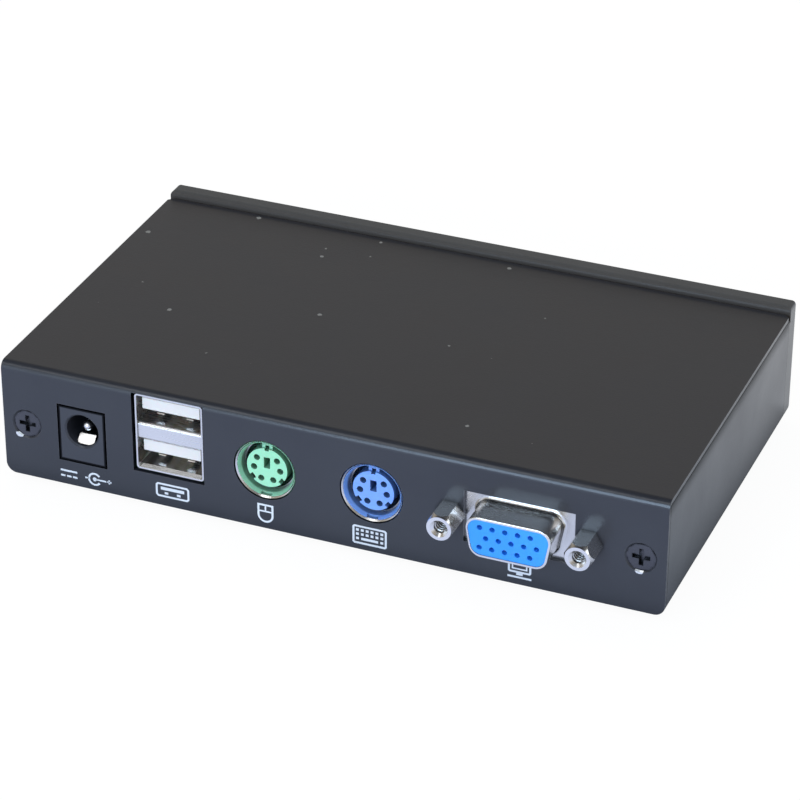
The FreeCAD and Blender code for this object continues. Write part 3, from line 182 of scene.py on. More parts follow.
def makeFlecks():  # sparse round specks, most of them on faces that look up
    group, given, out = newGroup("dustFlecks", ["Vector"], ["Scale", "Size", "Share"])
    scale, reach = effectValues["fleckWobble"]
    wobble = vectorMath(group, "MULTIPLY", noiseOf(group, given["Vector"], scale)["Color"], (reach,) * 3)
    moved = vectorMath(group, "ADD", given["Vector"], wobble)
    cells = addNode(group, "TexVoronoi", {"Vector": moved, "Scale": given["Scale"]})
    pick = addNode(group, "SeparateColor", {0: cells.outputs["Color"]}).outputs
    chosen = mathNode(group, "LESS_THAN", pick[0], given["Share"])
    varied = mathNode(group, "ADD", pick[1], effectValues["fleckSize"])
    size = mathNode(group, "MULTIPLY", given["Size"], varied)
    near = mathNode(group, "LESS_THAN", cells.outputs["Distance"], size)
    upward = spread(group, facing(group)["Z"], *effectValues["fleckUpward"])
    both = mathNode(group, "MULTIPLY", chosen, near)
    group.links.new(mathNode(group, "MULTIPLY", both, upward), out)
    return group


def makeBlotch():  # broad soft variation, 0 to 1
    group, given, out = newGroup("softBlotch", ["Vector"], ["Scale"])
    noise = noiseOf(group, given["Vector"], given["Scale"], 4.0)["Fac"]
    group.links.new(spread(group, noise, *effectValues["softNoise"]), out)
    return group


def makeBrush():  # fine lines drawn out along X, 0 to 1
    group, given, out = newGroup("fineBrush", ["Vector"], ["Scale", "Stretch"])
    pull = addNode(group, "CombineXYZ", {"X": given["Stretch"], "Y": 1.0, "Z": 1.0}).outputs[0]
    drawn = vectorMath(group, "MULTIPLY", given["Vector"], pull)
    noise = noiseOf(group, drawn, given["Scale"], 3.0)["Fac"]
    group.links.new(spread(group, noise, *effectValues["softNoise"]), out)
    return group


def makeHollow():  # 1 in the open, less in gaps and holes
    group, given, out = newGroup("hollowShade", [], ["Reach", "Least"])
    openness = addNode(group, "AmbientOcclusion", {"Distance": given["Reach"]}, samples=6).outputs["AO"]
    group.links.new(spread(group, openness, *effectValues["openness"], given["Least"]), out)
    return group


def looksSideways(tree):  # 1 on faces that look along X
    across = mathNode(tree, "ABSOLUTE", facing(tree)["X"])
    return mathNode(tree, "GREATER_THAN", across, effectValues["sideways"])


def makeSeam():  # less than 1 on the upright sides just under a seam
    group, given, out = newGroup("seamShade", ["Vector"], ["Low", "High", "Least"])
    height = split(group, given["Vector"])["Z"]
    shade = spread(group, height, given["Low"], given["High"], 1.0, given["Least"])
    edge = mathNode(group, "ADD", given["High"], effectValues["seamEdge"])
    below = mathNode(group, "LESS_THAN", height, edge)
    under = mathNode(group, "MULTIPLY", looksSideways(group), below)
    lost = mathNode(group, "MULTIPLY", mathNode(group, "SUBTRACT", 1.0, shade), under)
    group.links.new(mathNode(group, "SUBTRACT", 1.0, lost), out)
    return group


def makeSides():  # 1 on faces that look along X, a given least elsewhere
    group, given, out = newGroup("sideGloss", [], ["Least"])
    group.links.new(mathNode(group, "MAXIMUM", looksSideways(group), given["Least"]), out)
    return group


def makeFrontShade():  # 1 on faces that look to the front, where the bezel takes a painted shade colour
    group, given, out = newGroup("frontShadeMask", [], [])
    group.links.new(spread(group, facing(group)["Y"], *effectValues["frontward"]), out)
    return group


def makeSpot():  # 1 within a flat round spot about a place, with a ragged edge
    group, given, out = newGroup("roundSpot", ["Vector", "Place"], ["Reach"])
    length = distance(group, given["Vector"], given["Place"], effectValues["spotFlat"])
    scale, least = effectValues["spotNoise"]
    ragged = mathNode(group, "ADD", noiseOf(group, given["Vector"], scale)["Fac"], least)
    edge = mathNode(group, "MULTIPLY", given["Reach"], ragged)
    group.links.new(mathNode(group, "LESS_THAN", length, edge), out)
    return group


def makeRingShade():  # 0 inside a radius about a line along Y, 1 outside, where a socket's ring takes painted shade
    group, given, out = newGroup("ringShadeMask", ["Vector", "Centre"], ["Radius"])
    length = distance(group, given["Vector"], given["Centre"], (1.0, 0.0, 1.0))
    group.links.new(mathNode(group, "GREATER_THAN", length, given["Radius"]), out)
    return group


def makeRimShade():  # 1 inside a box seen along Y, 0 within a reach of its sides, where painted shade falls along a face's edges
    group, given, out = newGroup("boxRimShade", ["Vector", "Centre", "Half"], ["Reach"])
    away = vectorMath(group, "SUBTRACT", given["Vector"], given["Centre"])
    away = vectorMath(group, "ABSOLUTE", away)
    x, _, z = split(group, vectorMath(group, "SUBTRACT", given["Half"], away))
    nearest = mathNode(group, "DIVIDE", mathNode(group, "MINIMUM", x, z), given["Reach"])
    group.links.new(spread(group, nearest, *effectValues["rimEdge"]), out)
    return group


effects = {"grain": makeGrain(), "edgeWearAndLight": makeEdgeWearAndLight(), "flecks": makeFlecks(), "blotch": makeBlotch(),
           "brush": makeBrush(), "hollow": makeHollow(), "seam": makeSeam(), "sides": makeSides(),
           "front": makeFrontShade(), "spot": makeSpot(), "ring": makeRingShade(), "rim": makeRimShade()}


def useEffect(tree, name, links):
    return addNode(tree, "Group", links, node_tree=effects[name]).outputs[0]


# Collars of the two round sockets.
collarValues = {
    "inside": 5.43,  # radii, mm
    "outside": 5.72,
    "setback": 0.2,  # behind the panel's face
    "length": 0.7,
    "lift": 6.7,  # of the centre above the board
    "steps": 72,  # points round
}


# Finishes.
# Lengths are in metres, the depths of grain and brush in mm. The functions below name each entry's values.
finishValues = {
    # case_paint: its pale edge tone is part wear, part painted highlight on the sheet edges; hollow and
    # seam are painted shade in gaps and under the cover's edge.
    "case_paint": {"colour": (0.018, 0.0195, 0.026), "second": (0.023, 0.0245, 0.031),
                   "rough": (0.34, 0.44), "grain": (2600, 0.03), "edgeWearAndLight": ((0.24, 0.22, 0.22), 0.32, 0.0002),
                   "coat": (0.35, 0.1), "hollow": (0.0007, 0.35), "seam": (0.0205, 0.0233, 0.1),
                   "chips": ((-0.0596, -0.0344, 0.0099), (0.05775, -0.0344, 0.00955)),
                   "flecks": (230, 0.085, 0.2, (0.22, 0.22, 0.21))},
    # bezel_plastic: front is painted shade, a darker colour on the faces that look to the front.
    "bezel_plastic": {"colour": (0.075, 0.074, 0.073), "second": (0.085, 0.084, 0.083),
                      "rough": (0.4, 0.48), "grain": (3800, 0.05), "sides": 0.2, "coat": (0.35, 0.1),
                      "front": (0.062, 0.053, 0.046), "edgeWearAndLight": ((0.08, 0.08, 0.08), 0.1, 0.0001),
                      "flecks": (170, 0.08, 0.08, (0.35, 0.35, 0.34))},
    # screw_black: the near-black edge tone is painted shade round the heads, and hollow is painted shade in
    # the recesses.
    "screw_black": {"colour": (0.07, 0.07, 0.08), "second": (0.11, 0.11, 0.12), "rough": (0.16, 0.28),
                    "metallic": 0.8, "grain": (5200, 0.03), "edgeWearAndLight": ((0.008, 0.008, 0.01), 1.0, 0.0004),
                    "hollow": (0.0008, 0.3)},
    "screw_steel": {"colour": (0.62, 0.62, 0.6), "second": (0.5, 0.5, 0.5), "rough": (0.25, 0.42),
                    "metallic": 1.0, "brush": (3000, 0.1, 0.02)},
    "foot_rubber": {"colour": (0.018, 0.018, 0.018), "second": (0.03, 0.03, 0.03), "rough": (0.7, 0.85),
                    "grain": (3200, 0.1)},
    "board_green": {"colour": (0.01, 0.09, 0.035), "second": (0.015, 0.14, 0.05), "rough": (0.3, 0.4),
                    "grain": (900, 0.02)},
    # jack_plastic: hollow is painted shade in the bore, and rim is painted shade along the edges of its
    # face.
    "jack_plastic": {"colour": (0.036, 0.038, 0.048), "second": (0.042, 0.044, 0.054), "rough": (0.3, 0.4),
                     "grain": (3600, 0.03), "hollow": (0.003, 0.15),
                     "rim": ("power_jack_body", 0.0003, 0.12)},
    # socket_nickel: hollow is painted shade in recesses, and it is paler along its edges.
    "socket_nickel": {"colour": (0.89, 0.87, 0.84), "second": (0.78, 0.76, 0.74), "rough": (0.16, 0.27),
                      "metallic": 1.0, "brush": (2600, 0.12, 0.004), "hollow": (0.003, 0.58),
                      "edgeWearAndLight": ((0.9, 0.89, 0.88), 0.5, 0.0001)},
    "port_white": {"colour": (0.88, 0.81, 0.76), "second": (0.8, 0.74, 0.7), "rough": (0.28, 0.4),
                   "grain": (2500, 0.02), "glow": 0.12},
    "contact_gold": {"colour": (0.86, 0.75, 0.54), "second": (0.74, 0.63, 0.43), "rough": (0.2, 0.34),
                     "metallic": 1.0, "brush": (4000, 0.2, 0.01)},
    # Round sockets: ring is painted shade on the ring round the middle, and hollow is painted shade in
    # recesses. These sockets and video_blue are paler along their edges.
    "mouse_mint": {"colour": (0.41, 0.84, 0.55), "second": (0.35, 0.77, 0.48), "rough": (0.28, 0.4),
                   "grain": (2600, 0.02), "glow": 0.1, "edgeWearAndLight": ((0.6, 0.9, 0.75), 0.3, 0.0001),
                   "ring": ("mouse_socket_body", 0.0044, 0.72), "hollow": (0.002, 0.4)},
    "keyboard_blue": {"colour": (0.25, 0.46, 0.94), "second": (0.2, 0.38, 0.88), "rough": (0.28, 0.4),
                      "grain": (2600, 0.02), "glow": 0.1, "edgeWearAndLight": ((0.4, 0.55, 0.95), 0.3, 0.0001),
                      "ring": ("keyboard_socket_body", 0.0044, 0.8), "hollow": (0.002, 0.4)},
    "video_blue": {"colour": (0.04, 0.36, 0.98), "second": (0.032, 0.31, 0.92), "rough": (0.3, 0.42),
                   "grain": (2600, 0.02), "glow": 0.1, "edgeWearAndLight": ((0.3, 0.6, 0.98), 0.3, 0.0001)},
    "chip_black": {"colour": (0.02, 0.02, 0.021), "second": (0.03, 0.03, 0.03), "rough": (0.45, 0.6),
                   "grain": (4200, 0.04)},
    "can_aluminium": {"colour": (0.78, 0.78, 0.79), "second": (0.66, 0.66, 0.67), "rough": (0.2, 0.34),
                      "metallic": 1.0, "brush": (2400, 0.3, 0.01)},
    "ferrite_grey": {"colour": (0.05, 0.05, 0.052), "second": (0.075, 0.075, 0.075), "rough": (0.55, 0.75),
                     "grain": (2600, 0.1)},
    "lamp_green": {"colour": (0.2, 0.8, 0.3), "second": (0.15, 0.7, 0.25), "rough": (0.08, 0.18),
                   "grain": (1500, 0.01), "clear": 0.6},
    "panel_ink": {"colour": (0.8, 0.81, 0.84), "second": (0.66, 0.67, 0.71), "rough": (0.4, 0.55),
                  "grain": (5000, 0.03)},
}


# What the finishes share.
commonValues = {
    "blotchScale": 70.0,
    "bump": 0.5,  # strength
    "gloss": 0.5,
    "sideGloss": 0.6,  # where the gloss follows the side that a face looks to
    "brushRough": 0.08,  # roughness that the brushed lines add
    "fleckRough": 0.8,
    "chipReach": 0.0005,
    "chipColour": (0.9, 0.9, 0.88),
    "glowDepth": 0.0006,  # how far light goes into soft plastic
}


# Painted shade: the share of colour and gloss left in hollows, under a seam, on a socket's ring round its
# middle and at a rim, or None.
def makeShade(tree, place, values):
    shade = None
    if "hollow" in values:
        shade = useEffect(tree, "hollow", dict(zip(("Reach", "Least"), values["hollow"])))
    if "seam" in values:
        seam = dict(zip(("Low", "High", "Least"), values["seam"]))
        under = useEffect(tree, "seam", {"Vector": place, **seam})
        shade = mathNode(tree, "MULTIPLY", shade, under)
    if "ring" in values:
        socket, radius, least = values["ring"]
        low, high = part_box(socket)
        centre = ((low.x + high.x) / 2, 0, low.z + collarValues["lift"] * mm)
        outside = useEffect(tree, "ring", {"Vector": place, "Centre": centre, "Radius": radius})
        shade = mathNode(tree, "MULTIPLY", shade, spread(tree, outside, 0.0, 1.0, 1.0, least))
    if "rim" in values:
        socket, reach, least = values["rim"]
        low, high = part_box(socket)
        box = {"Centre": (low + high) / 2, "Half": (high - low) / 2}
        inside = useEffect(tree, "rim", {"Vector": place, **box, "Reach": reach})
        shade = mathNode(tree, "MULTIPLY", shade, spread(tree, inside, 0.0, 1.0, least, 1.0))
    return shade


def makeFinish(name, values):
    material = bpy.data.materials.new(name)
    material.use_nodes = True
    tree = material.node_tree
    shader = tree.nodes["Principled BSDF"]
    place = addNode(tree, "TexCoord").outputs["Object"]
    blotch = useEffect(tree, "blotch", {"Vector": place, "Scale": commonValues["blotchScale"]})
    colour = mixColour(tree, blotch, rgba(values["colour"]), rgba(values["second"]))
    rough = spread(tree, blotch, 0.0, 1.0, *values["rough"])
    if "grain" in values:
        scale, depth = values["grain"]
        height = useEffect(tree, "grain", {"Vector": place, "Scale": scale})
    if "brush" in values:
        scale, stretch, depth = values["brush"]
        height = useEffect(tree, "brush", {"Vector": place, "Scale": scale, "Stretch": stretch})
        rough = mathNode(tree, "ADD", rough, mathNode(tree, "MULTIPLY", height, commonValues["brushRough"]))
    # edge tone: part wear, part painted light, a painted highlight where pale and painted shade where dark
    if "edgeWearAndLight" in values:
        edgeColour, amount, width = values["edgeWearAndLight"]
        mask = useEffect(tree, "edgeWearAndLight", {"Vector": place, "Width": width})
        colour = mixColour(tree, mathNode(tree, "MULTIPLY", mask, amount), colour, rgba(edgeColour))
    if "flecks" in values:
        scale, size, share, pale = values["flecks"]
        mask = useEffect(tree, "flecks", {"Vector": place, "Scale": scale, "Size": size, "Share": share})
        colour = mixColour(tree, mask, colour, rgba(pale))
        matt = mathNode(tree, "MULTIPLY", mask, commonValues["fleckRough"])
        rough = mathNode(tree, "MAXIMUM", rough, matt)
    # Painted shade: faces that look to the front take the darker front colour.
    if "front" in values:
        colour = mixColour(tree, useEffect(tree, "front", {}), colour, rgba(values["front"]))
    # Painted shade: colour and gloss are darkened in hollows, under a seam, on a socket's ring and at a
    # rim.
    shade = makeShade(tree, place, values)
    if "sides" in values:
        shade = useEffect(tree, "sides", {"Least": values["sides"]})
        gloss = mathNode(tree, "MULTIPLY", shade, commonValues["sideGloss"])
        tree.links.new(gloss, shader.inputs["Specular IOR Level"])
    elif shade is not None:
        colour = vectorMath(tree, "MULTIPLY", colour, shade)
        gloss = mathNode(tree, "MULTIPLY", shade, commonValues["gloss"])
        tree.links.new(gloss, shader.inputs["Specular IOR Level"])
    if "chips" in values:
        bare = 0.0
        for chip in values["chips"]:
            links = {"Vector": place, "Place": chip, "Reach": commonValues["chipReach"]}
            bare = mathNode(tree, "MAXIMUM", useEffect(tree, "spot", links), bare)
        colour = mixColour(tree, bare, colour, rgba(commonValues["chipColour"]))
        tree.links.new(bare, shader.inputs["Metallic"])
    tree.links.new(colour, shader.inputs["Base Color"])
    tree.links.new(rough, shader.inputs["Roughness"])
    links = {"Height": height, "Strength": commonValues["bump"], "Distance": depth * mm}
    normal = addNode(tree, "Bump", links).outputs["Normal"]
    for key in ("Normal", "Coat Normal"):
        tree.links.new(normal, shader.inputs[key])
    if "metallic" in values:
        shader.inputs["Metallic"].default_value = values["metallic"]
    if "coat" in values:
        weight, shader.inputs["Coat Roughness"].default_value = values["coat"]
        tree.links.new(mathNode(tree, "MULTIPLY", shade, weight), shader.inputs["Coat Weight"])
    if "glow" in values:
        shader.inputs["Subsurface Weight"].default_value = values["glow"]
        shader.inputs["Subsurface Scale"].default_value = commonValues["glowDepth"]
    if "clear" in values:
        shader.inputs["Transmission Weight"].default_value = values["clear"]
    return material


finishes = {name: makeFinish(name, values) for name, values in finishValues.items()}
slotOf = {row["node"]: row["material_slot"] for row in frame["record"]["subparts"]}
for nodeName, nodeObject in nodes.items():
    finish = finishes[slotOf[nodeName]]
    if not nodeObject.material_slots:
        nodeObject.data.materials.append(finish)
    for materialSlot in nodeObject.material_slots:
        materialSlot.material = finish
print("finishes made:", len(finishes))


# Surfaces.
# Faces of a grid of points, n by m, with either direction closed on itself or its two end rows capped.
def gridFaces(n, m, closeU, closeV, capped):
    i, j = np.meshgrid(np.arange(n if closeU else n - 1), np.arange(m if closeV else m - 1), indexing="ij")
    a, b = i * m + j, i * m + (j + 1) % m
    c, d = (i + 1) % n * m + (j + 1) % m, (i + 1) % n * m + j
    faces = np.stack([a, b, c, d], -1).reshape(-1, 4).tolist()
    if capped:
        faces += [list(range(m)), [(n - 1) * m + k for k in reversed(range(m))]]
    return faces


def addPiece(name, parts, finish, smooth=False):  # parts: grids of points with how they close
    points, faces, first = [], [], 0
    for grid, closeU, closeV, capped in parts:
        n, m = grid.shape[:2]
        points.append(grid.reshape(-1, 3))
        faces += [[first + k for k in face] for face in gridFaces(n, m, closeU, closeV, capped)]
        first += n * m
    mesh = bpy.data.meshes.new(name)
    mesh.from_pydata((np.concatenate(points) * mm).tolist(), [], faces)
    shell = bmesh.new()
    shell.from_mesh(mesh)
    bmesh.ops.recalc_face_normals(shell, faces=shell.faces)
    shell.to_mesh(mesh)
    shell.free()
    mesh.polygons.foreach_set("use_smooth", [smooth] * len(mesh.polygons))
    mesh.materials.append(finishes[finish])
    piece = bpy.data.objects.new(name, mesh)
    bpy.context.scene.collection.objects.link(piece)
    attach(piece, "root")


# Printed signs.
# In mm. A bar is start, end, height; an arc radius, start, end, points; an outline width, height, cut.
signValues = {
    "line": 0.38,  # width of a printed line
    "thin": 0.8,  # width of a thin line beside that
    "ink": 0.02,  # thickness of the ink
    "power": {"centre": (-46.75, 3.75),  # x and z on the panel
              "long": (-4.9, -1.6, 0.55), "dashes": (-4.9, -3.7, -2.5), "dash": 0.9, "plug": 1.9,
              "sleeve": (1.15, 35, 325, 20), "pin": (0.2, 0, 330, 12),
              "stems": ((0.3, 2.3, 0), (-1.9, -1.15, 0), (2.5, 3.3, 0)), "plus": (2.9, 0.42)},
    "usb": {"centre": (-29.4, 4.7), "outline": (6.2, 2.5, 0.3), "tongue": (-2.3, 2.3, 0.35),
            "tongueWidth": 0.62, "contacts": ((-1.55, -0.85, -0.55), (0.85, 1.55, -0.55)),
            "contactWidth": 0.45},
    "mouse": {"centre": (-11.3, 4.55), "bottom": (1.35, 180, 360, 15), "lower": -0.35, "top": 1.7,
              "across": (-1.2, 1.2, 0.4), "between": (0.5, 1.6)},
    "keyboard": {"centre": (8.55, 4.5), "outline": (6.1, 3.4, 0.2), "keyWidth": 0.5, "keyHalf": 0.27,
                 "keys": (-2.3, 2.3, 6), "rows": (0.95, 0.1),
                 "lastRow": ((-2.57, -2.03, -0.8), (-1.6, 1.6, -0.8), (2.03, 2.57, -0.8))},
    "monitor": {"centre": (36.4, 4.7), "lift": 0.65, "outline": (3.9, 2.7, 0.15), "screen": (2.6, 1.4),
                "screenLine": 0.7, "neck": (-0.6, 0.6, -1.1), "neckWidth": 0.45,
                "foot": (-2.2, 2.2, -1.75)},
}
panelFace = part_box("top_cover")[0].y / mm


# A printed line: each point of the path goes left and right by half the width along its mitre, and the ink
# has a front and a back.
def inkLine(path, width, closed=False, centre=(0, 0)):
    path = np.asarray(path, float) + np.asarray(centre, float)
    ahead = np.roll(path, -1, 0) - path
    if not closed:
        ahead[-1] = ahead[-2]
    ahead /= np.linalg.norm(ahead, axis=1)[:, None]
    behind = np.roll(ahead, 1, 0)
    if not closed:
        behind[0] = ahead[0]
    side, before = (np.stack([-v[:, 1], v[:, 0]], 1) for v in (ahead, behind))
    mitre = (side + before) / (1 + (side * before).sum(1))[:, None] * width / 2
    front, back = panelFace - signValues["ink"], panelFace + signValues["ink"] / 2
    corners = [(path + mitre, front), (path + mitre, back), (path - mitre, back), (path - mitre, front)]
    grid = np.stack([np.stack([p[:, 0], np.full(len(p), y), p[:, 1]], 1) for p, y in corners], 1)
    return grid, closed, True, not closed


def boxPath(wide, high, cut=0.0):  # a rectangle's corners, or eight points where they are cut
    w, h = wide / 2, high / 2
    if not cut:
        return [(-w, -h), (w, -h), (w, h), (-w, h)]
    return [(-w + cut, -h), (w - cut, -h), (w, -h + cut), (w, h - cut),
            (w - cut, h), (-w + cut, h), (-w, h - cut), (-w, -h + cut)]


def arcPath(radius, start, end, steps):  # evenly spaced points on a circle
    t = np.radians(np.linspace(start, end, steps))
    return np.stack([np.cos(t), np.sin(t)], 1) * radius


def bar(start, end, height, width, centre):  # a level line
    return inkLine([(start, height), (end, height)], width, centre=centre)


def powerSign(line, values):  # direct current, and the plug's polarity
    thin = line * signValues["thin"]
    centre, height = values["centre"], values["long"][2]
    parts = [bar(*values["long"], line, centre)]
    parts += [bar(start, start + values["dash"], -height, line, centre) for start in values["dashes"]]
    middle = np.add(centre, (values["plug"], 0))
    parts.append(inkLine(arcPath(*values["sleeve"]), line, centre=middle))
    parts.append(inkLine(arcPath(*values["pin"]), 2 * values["pin"][0], True, middle))
    parts += [bar(*stem, thin, middle) for stem in values["stems"]]
    u, v = values["plus"]
    parts.append(inkLine([(u, -v), (u, v)], thin, centre=middle))
    return parts


def usbSign(line, values):  # a flat plug seen from its end
    centre = values["centre"]
    parts = [inkLine(boxPath(*values["outline"]), line, True, centre)]
    parts.append(bar(*values["tongue"], values["tongueWidth"], centre))
    parts += [bar(*contactShadow, values["contactWidth"], centre) for contactShadow in values["contacts"]]
    return parts


def mouseSign(line, values):  # a body with a round end, its buttons drawn off
    thin = line * signValues["thin"]
    centre, half, top = values["centre"], values["bottom"][0], values["top"]
    bottom = arcPath(*values["bottom"]) + (0, values["lower"])
    parts = [inkLine(np.concatenate([bottom, [(half, top), (-half, top)]]), line, True, centre)]
    parts.append(bar(*values["across"], thin, centre))
    parts.append(inkLine([(0, v) for v in values["between"]], thin, centre=centre))
    return parts


def keyboardSign(line, values):  # a frame, two rows of keys and a last row with a long one
    centre, half, width = values["centre"], values["keyHalf"], values["keyWidth"]
    parts = [inkLine(boxPath(*values["outline"]), line, True, centre)]
    for v in values["rows"]:
        parts += [bar(u - half, u + half, v, width, centre) for u in np.linspace(*values["keys"])]
    parts += [bar(*key, width, centre) for key in values["lastRow"]]
    return parts


def monitorSign(line, values):  # a screen in its frame, on a neck and a foot
    centre = values["centre"]
    middle = np.add(centre, (0, values["lift"]))
    parts = [inkLine(boxPath(*values["outline"]), line, True, middle)]
    parts.append(inkLine(boxPath(*values["screen"]), line * values["screenLine"], True, middle))
    parts.append(bar(*values["neck"], values["neckWidth"], centre))
    parts.append(bar(*values["foot"], line, centre))
    return parts


for signName, drawSign in {"power": powerSign, "usb": usbSign, "mouse": mouseSign,
                           "keyboard": keyboardSign, "monitor": monitorSign}.items():
    addPiece(signName + "_sign", drawSign(signValues["line"], signValues[signName]), "panel_ink")
print("signs printed")


# Thread in the jackscrews.
threadValues = {
    "apart": 24.99,  # between the two screws, mm
    "core": 0.92,  # radius at the crest
    "wall": 1.14,
    "start": 0.5,  # depth of the mouth
    "pitch": 0.635,
    "length": 3.5,
    "steps": 22,  # points in one turn
    "feet": (0.05, 0.57),  # where the ridge starts and ends along one pitch
    "crest": (0.27, 0.35),
}


# A ridge of four points, foot, the two ends of its crest and foot, turned and moved on by one pitch a turn.
def threadRidge(x, mouth, z, inward, values):
    turns = values["length"] / values["pitch"] - 1
    t = np.linspace(0, turns, int(turns * values["steps"]))
    radius = np.array([values["wall"], values["core"], values["core"], values["wall"]])
    along = np.array([values["feet"][0], *values["crest"], values["feet"][1]])
    angle = 2 * np.pi * t[:, None]
    depth = (t[:, None] * values["pitch"] + along) * inward + mouth
    grid = np.stack([x + radius * np.cos(angle), depth, z + radius * np.sin(angle)], -1)
    return grid, False, True, True


for socketName in ("monitor_socket", "computer_video"):
    low, high = (np.array(corner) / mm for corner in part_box(socketName + "_jackscrews"))
    middle = (low + high) / 2
    inward = 1 if middle[1] < 0 else -1
    mouth = (low[1] if inward > 0 else high[1]) + inward * threadValues["start"]
    half = threadValues["apart"] / 2
    ridges = [threadRidge(middle[0] + side * half, mouth, middle[2], inward, threadValues)
              for side in (-1, 1)]
    addPiece(socketName + "_threads", ridges, "socket_nickel", True)
print("threads cut")


# Bright collars round the two round sockets.
def collar(x, z, values):  # a section with a sloping front, turned about the socket's line
    t = np.linspace(0, 2 * np.pi, values["steps"], endpoint=False)[:, None]
    front, back = panelFace + values["setback"], panelFace + values["setback"] + values["length"]
    radius = np.array([values["inside"], values["outside"], values["outside"], values["inside"]])
    slope = values["outside"] - values["inside"]
    depth = np.array([front + slope, front, back, back]) + 0 * t
    return np.stack([x + radius * np.cos(t), depth, z + radius * np.sin(t)], -1), True, True, False


for socketName in ("mouse", "keyboard"):
    low, high = (np.array(corner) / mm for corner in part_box(socketName + "_socket_body"))
    ring = collar((low[0] + high[0]) / 2, low[2] + collarValues["lift"], collarValues)
    addPiece(socketName + "_collar", [ring], "socket_nickel")
print("collars placed")


# Floor and light.
stageValues = {
    "floorSize": 6.0,
    "floorHeight": -0.00005,  # a hair under the feet
    "floorColour": (0.9, 0.9, 0.9),
    "floorFront": (0.66, 0.75, 1.03),  # what a reflection sees of it, from the front to the back
    "floorBeside": (0.46, 0.52, 0.61),
    "floorBack": (0.9, 0.93, 0.98),
    "frontBand": (-0.05, -0.02),  # metres along Y over which the first goes over into the second
    "backBand": (-0.02, 0.07),  # and the second into the third
    "floorWhite": 1.03,
    "contactShadow": (0.006, 0.2),  # painted contact shadow: a reflected floor is darker this near to the part, down to this share
    "shadowShare": 0.08,  # how much of the shadow the white floor keeps
    "ambient": (0.46, 0.48, 0.52),
    "skyNear": (0.85, 0.9, 1.0),  # what a reflection sees at the horizon
    "skyHigh": (0.355, 0.32, 0.265),  # above
    "skyTop": (0.03, 0.03, 0.035),  # and overhead
    "highBand": (0.05, 0.45),  # heights of the view over which the first goes over into the second
    "topBand": (0.62, 0.85),  # and the second into the third
}


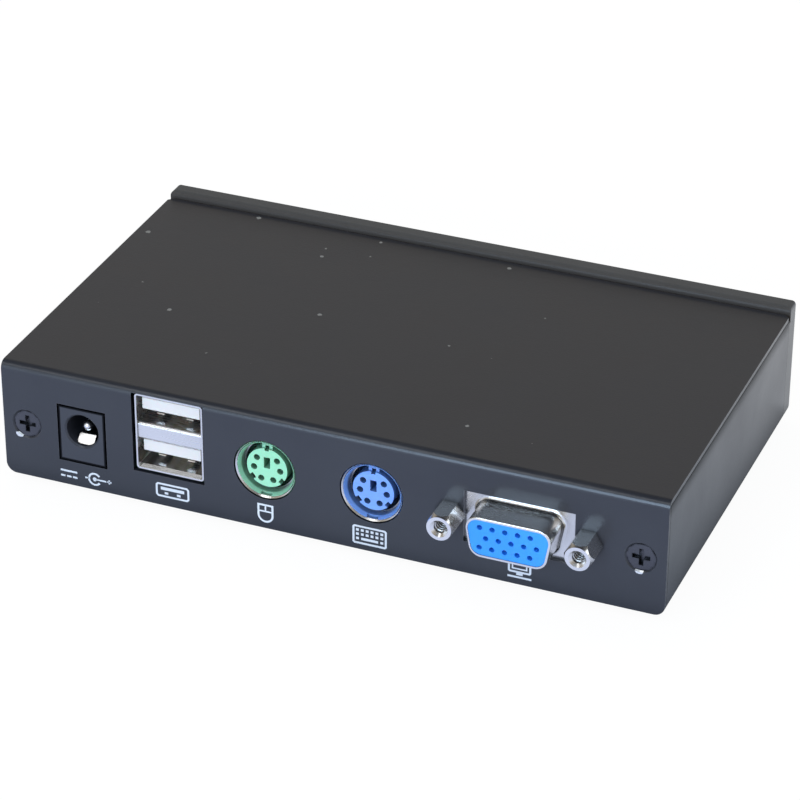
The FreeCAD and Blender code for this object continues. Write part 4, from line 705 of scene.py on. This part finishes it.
def makeFloor(values):  # white but for a faint shadow, tinted in reflections, clear from below
    half = values["floorSize"] / 2
    mesh = bpy.data.meshes.new("floor")
    corners = [(-half, -half), (half, -half), (half, half), (-half, half)]
    mesh.from_pydata([(x, y, values["floorHeight"]) for x, y in corners], [], [(0, 1, 2, 3)])
    floor = bpy.data.objects.new("floor", mesh)
    bpy.context.scene.collection.objects.link(floor)
    material = bpy.data.materials.new("whiteFloor")
    material.use_nodes = True
    tree = material.node_tree
    tree.nodes.clear()
    ray = addNode(tree, "LightPath")
    seen = mathNode(tree, "ADD", ray.outputs["Is Camera Ray"], ray.outputs["Is Glossy Ray"], True)
    seen = mathNode(tree, "ADD", seen, ray.outputs["Is Transmission Ray"], True)
    share = mathNode(tree, "MULTIPLY", seen, 1 - values["shadowShare"])
    matt = addNode(tree, "BsdfDiffuse", {"Color": rgba(values["floorColour"])})
    across, depth, _ = split(tree, addNode(tree, "TexCoord").outputs["Object"])
    beside, back = (spread(tree, depth, *values[key]) for key in ("frontBand", "backBand"))
    seenTint = mixColour(tree, beside, rgba(values["floorFront"]), rgba(values["floorBeside"]))
    seenTint = mixColour(tree, back, seenTint, rgba(values["floorBack"]))
    # Painted contact shadow: what reflections see of the floor darkens near the part.
    reach, least = values["contactShadow"]
    side = mathNode(tree, "SUBTRACT", mathNode(tree, "ABSOLUTE", across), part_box("base_tray")[1].x)
    front = mathNode(tree, "SUBTRACT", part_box("top_cover")[0].y, depth)
    rear = mathNode(tree, "SUBTRACT", depth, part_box("end_bezel")[1].y)
    away = mathNode(tree, "MAXIMUM", side, mathNode(tree, "MAXIMUM", front, rear))
    seenTint = vectorMath(tree, "MULTIPLY", seenTint, spread(tree, away, 0.0, reach, least, 1.0))
    tint = mixColour(tree, ray.outputs["Is Glossy Ray"], rgba((1, 1, 1)), seenTint)
    white = addNode(tree, "Emission", {"Color": tint, "Strength": values["floorWhite"]})
    mixed = addNode(tree, "MixShader", {0: share, 1: matt.outputs[0], 2: white.outputs[0]})
    below = addNode(tree, "NewGeometry").outputs["Backfacing"]
    clear = addNode(tree, "BsdfTransparent")
    mixed = addNode(tree, "MixShader", {0: below, 1: mixed.outputs[0], 2: clear.outputs[0]})
    out = addNode(tree, "OutputMaterial")
    tree.links.new(mixed.outputs[0], out.inputs["Surface"])
    mesh.materials.append(material)


def makeWorld(values):  # white to the camera, a sky in reflections, even light for all else
    world = bpy.data.worlds.new("studio")
    bpy.context.scene.world = world
    world.use_nodes = True
    tree = world.node_tree
    ray = addNode(tree, "LightPath")
    seen = mathNode(tree, "ADD", ray.outputs["Is Glossy Ray"], ray.outputs["Is Transmission Ray"], True)
    upward = split(tree, addNode(tree, "TexCoord").outputs["Generated"])["Z"]
    high = spread(tree, upward, *values["highBand"])
    sky = mixColour(tree, high, rgba(values["skyNear"]), rgba(values["skyHigh"]))
    sky = mixColour(tree, spread(tree, upward, *values["topBand"]), sky, rgba(values["skyTop"]))
    colour = mixColour(tree, seen, rgba(values["ambient"]), sky)
    colour = mixColour(tree, ray.outputs["Is Camera Ray"], colour, rgba((1, 1, 1)))
    tree.links.new(colour, tree.nodes["Background"].inputs["Color"])


lampValues = {
    "frontLamp": {"place": (-0.08, -1.05, 0.35), "size": 0.6, "power": 7.6, "colour": (0.58, 0.79, 1.05)},
    "rightLamp": {"place": (0.9, -0.1, 0.6), "size": 0.5, "power": 1.5, "colour": (0.8, 0.9, 1.0)},
    "highLamp": {"place": (-0.36, -0.57, 0.9), "size": 0.4, "power": 1.1, "colour": (0.95, 0.97, 1.0)},
    "topLamp": {"place": (-0.3, 0.3, 1.05), "size": 0.7, "power": 2.2, "colour": (1.0, 0.9, 0.62),
                "mirrored": False},  # no reflection shows it
}


def addLamp(name, values):  # a square lamp that looks at the origin
    data = bpy.data.lights.new(name, "AREA")
    data.size = values["size"]
    data.energy = values["power"]
    data.color = values["colour"]
    lamp = bpy.data.objects.new(name, data)
    lamp.visible_glossy = values.get("mirrored", True)
    lamp.location = values["place"]
    lamp.rotation_euler = (-Vector(values["place"])).to_track_quat("-Z", "Y").to_euler()
    bpy.context.scene.collection.objects.link(lamp)


makeFloor(stageValues)
makeWorld(stageValues)
for lampName, values in lampValues.items():
    addLamp(lampName, values)
bpy.context.scene.view_settings.view_transform = "Standard"
print("stage lit")
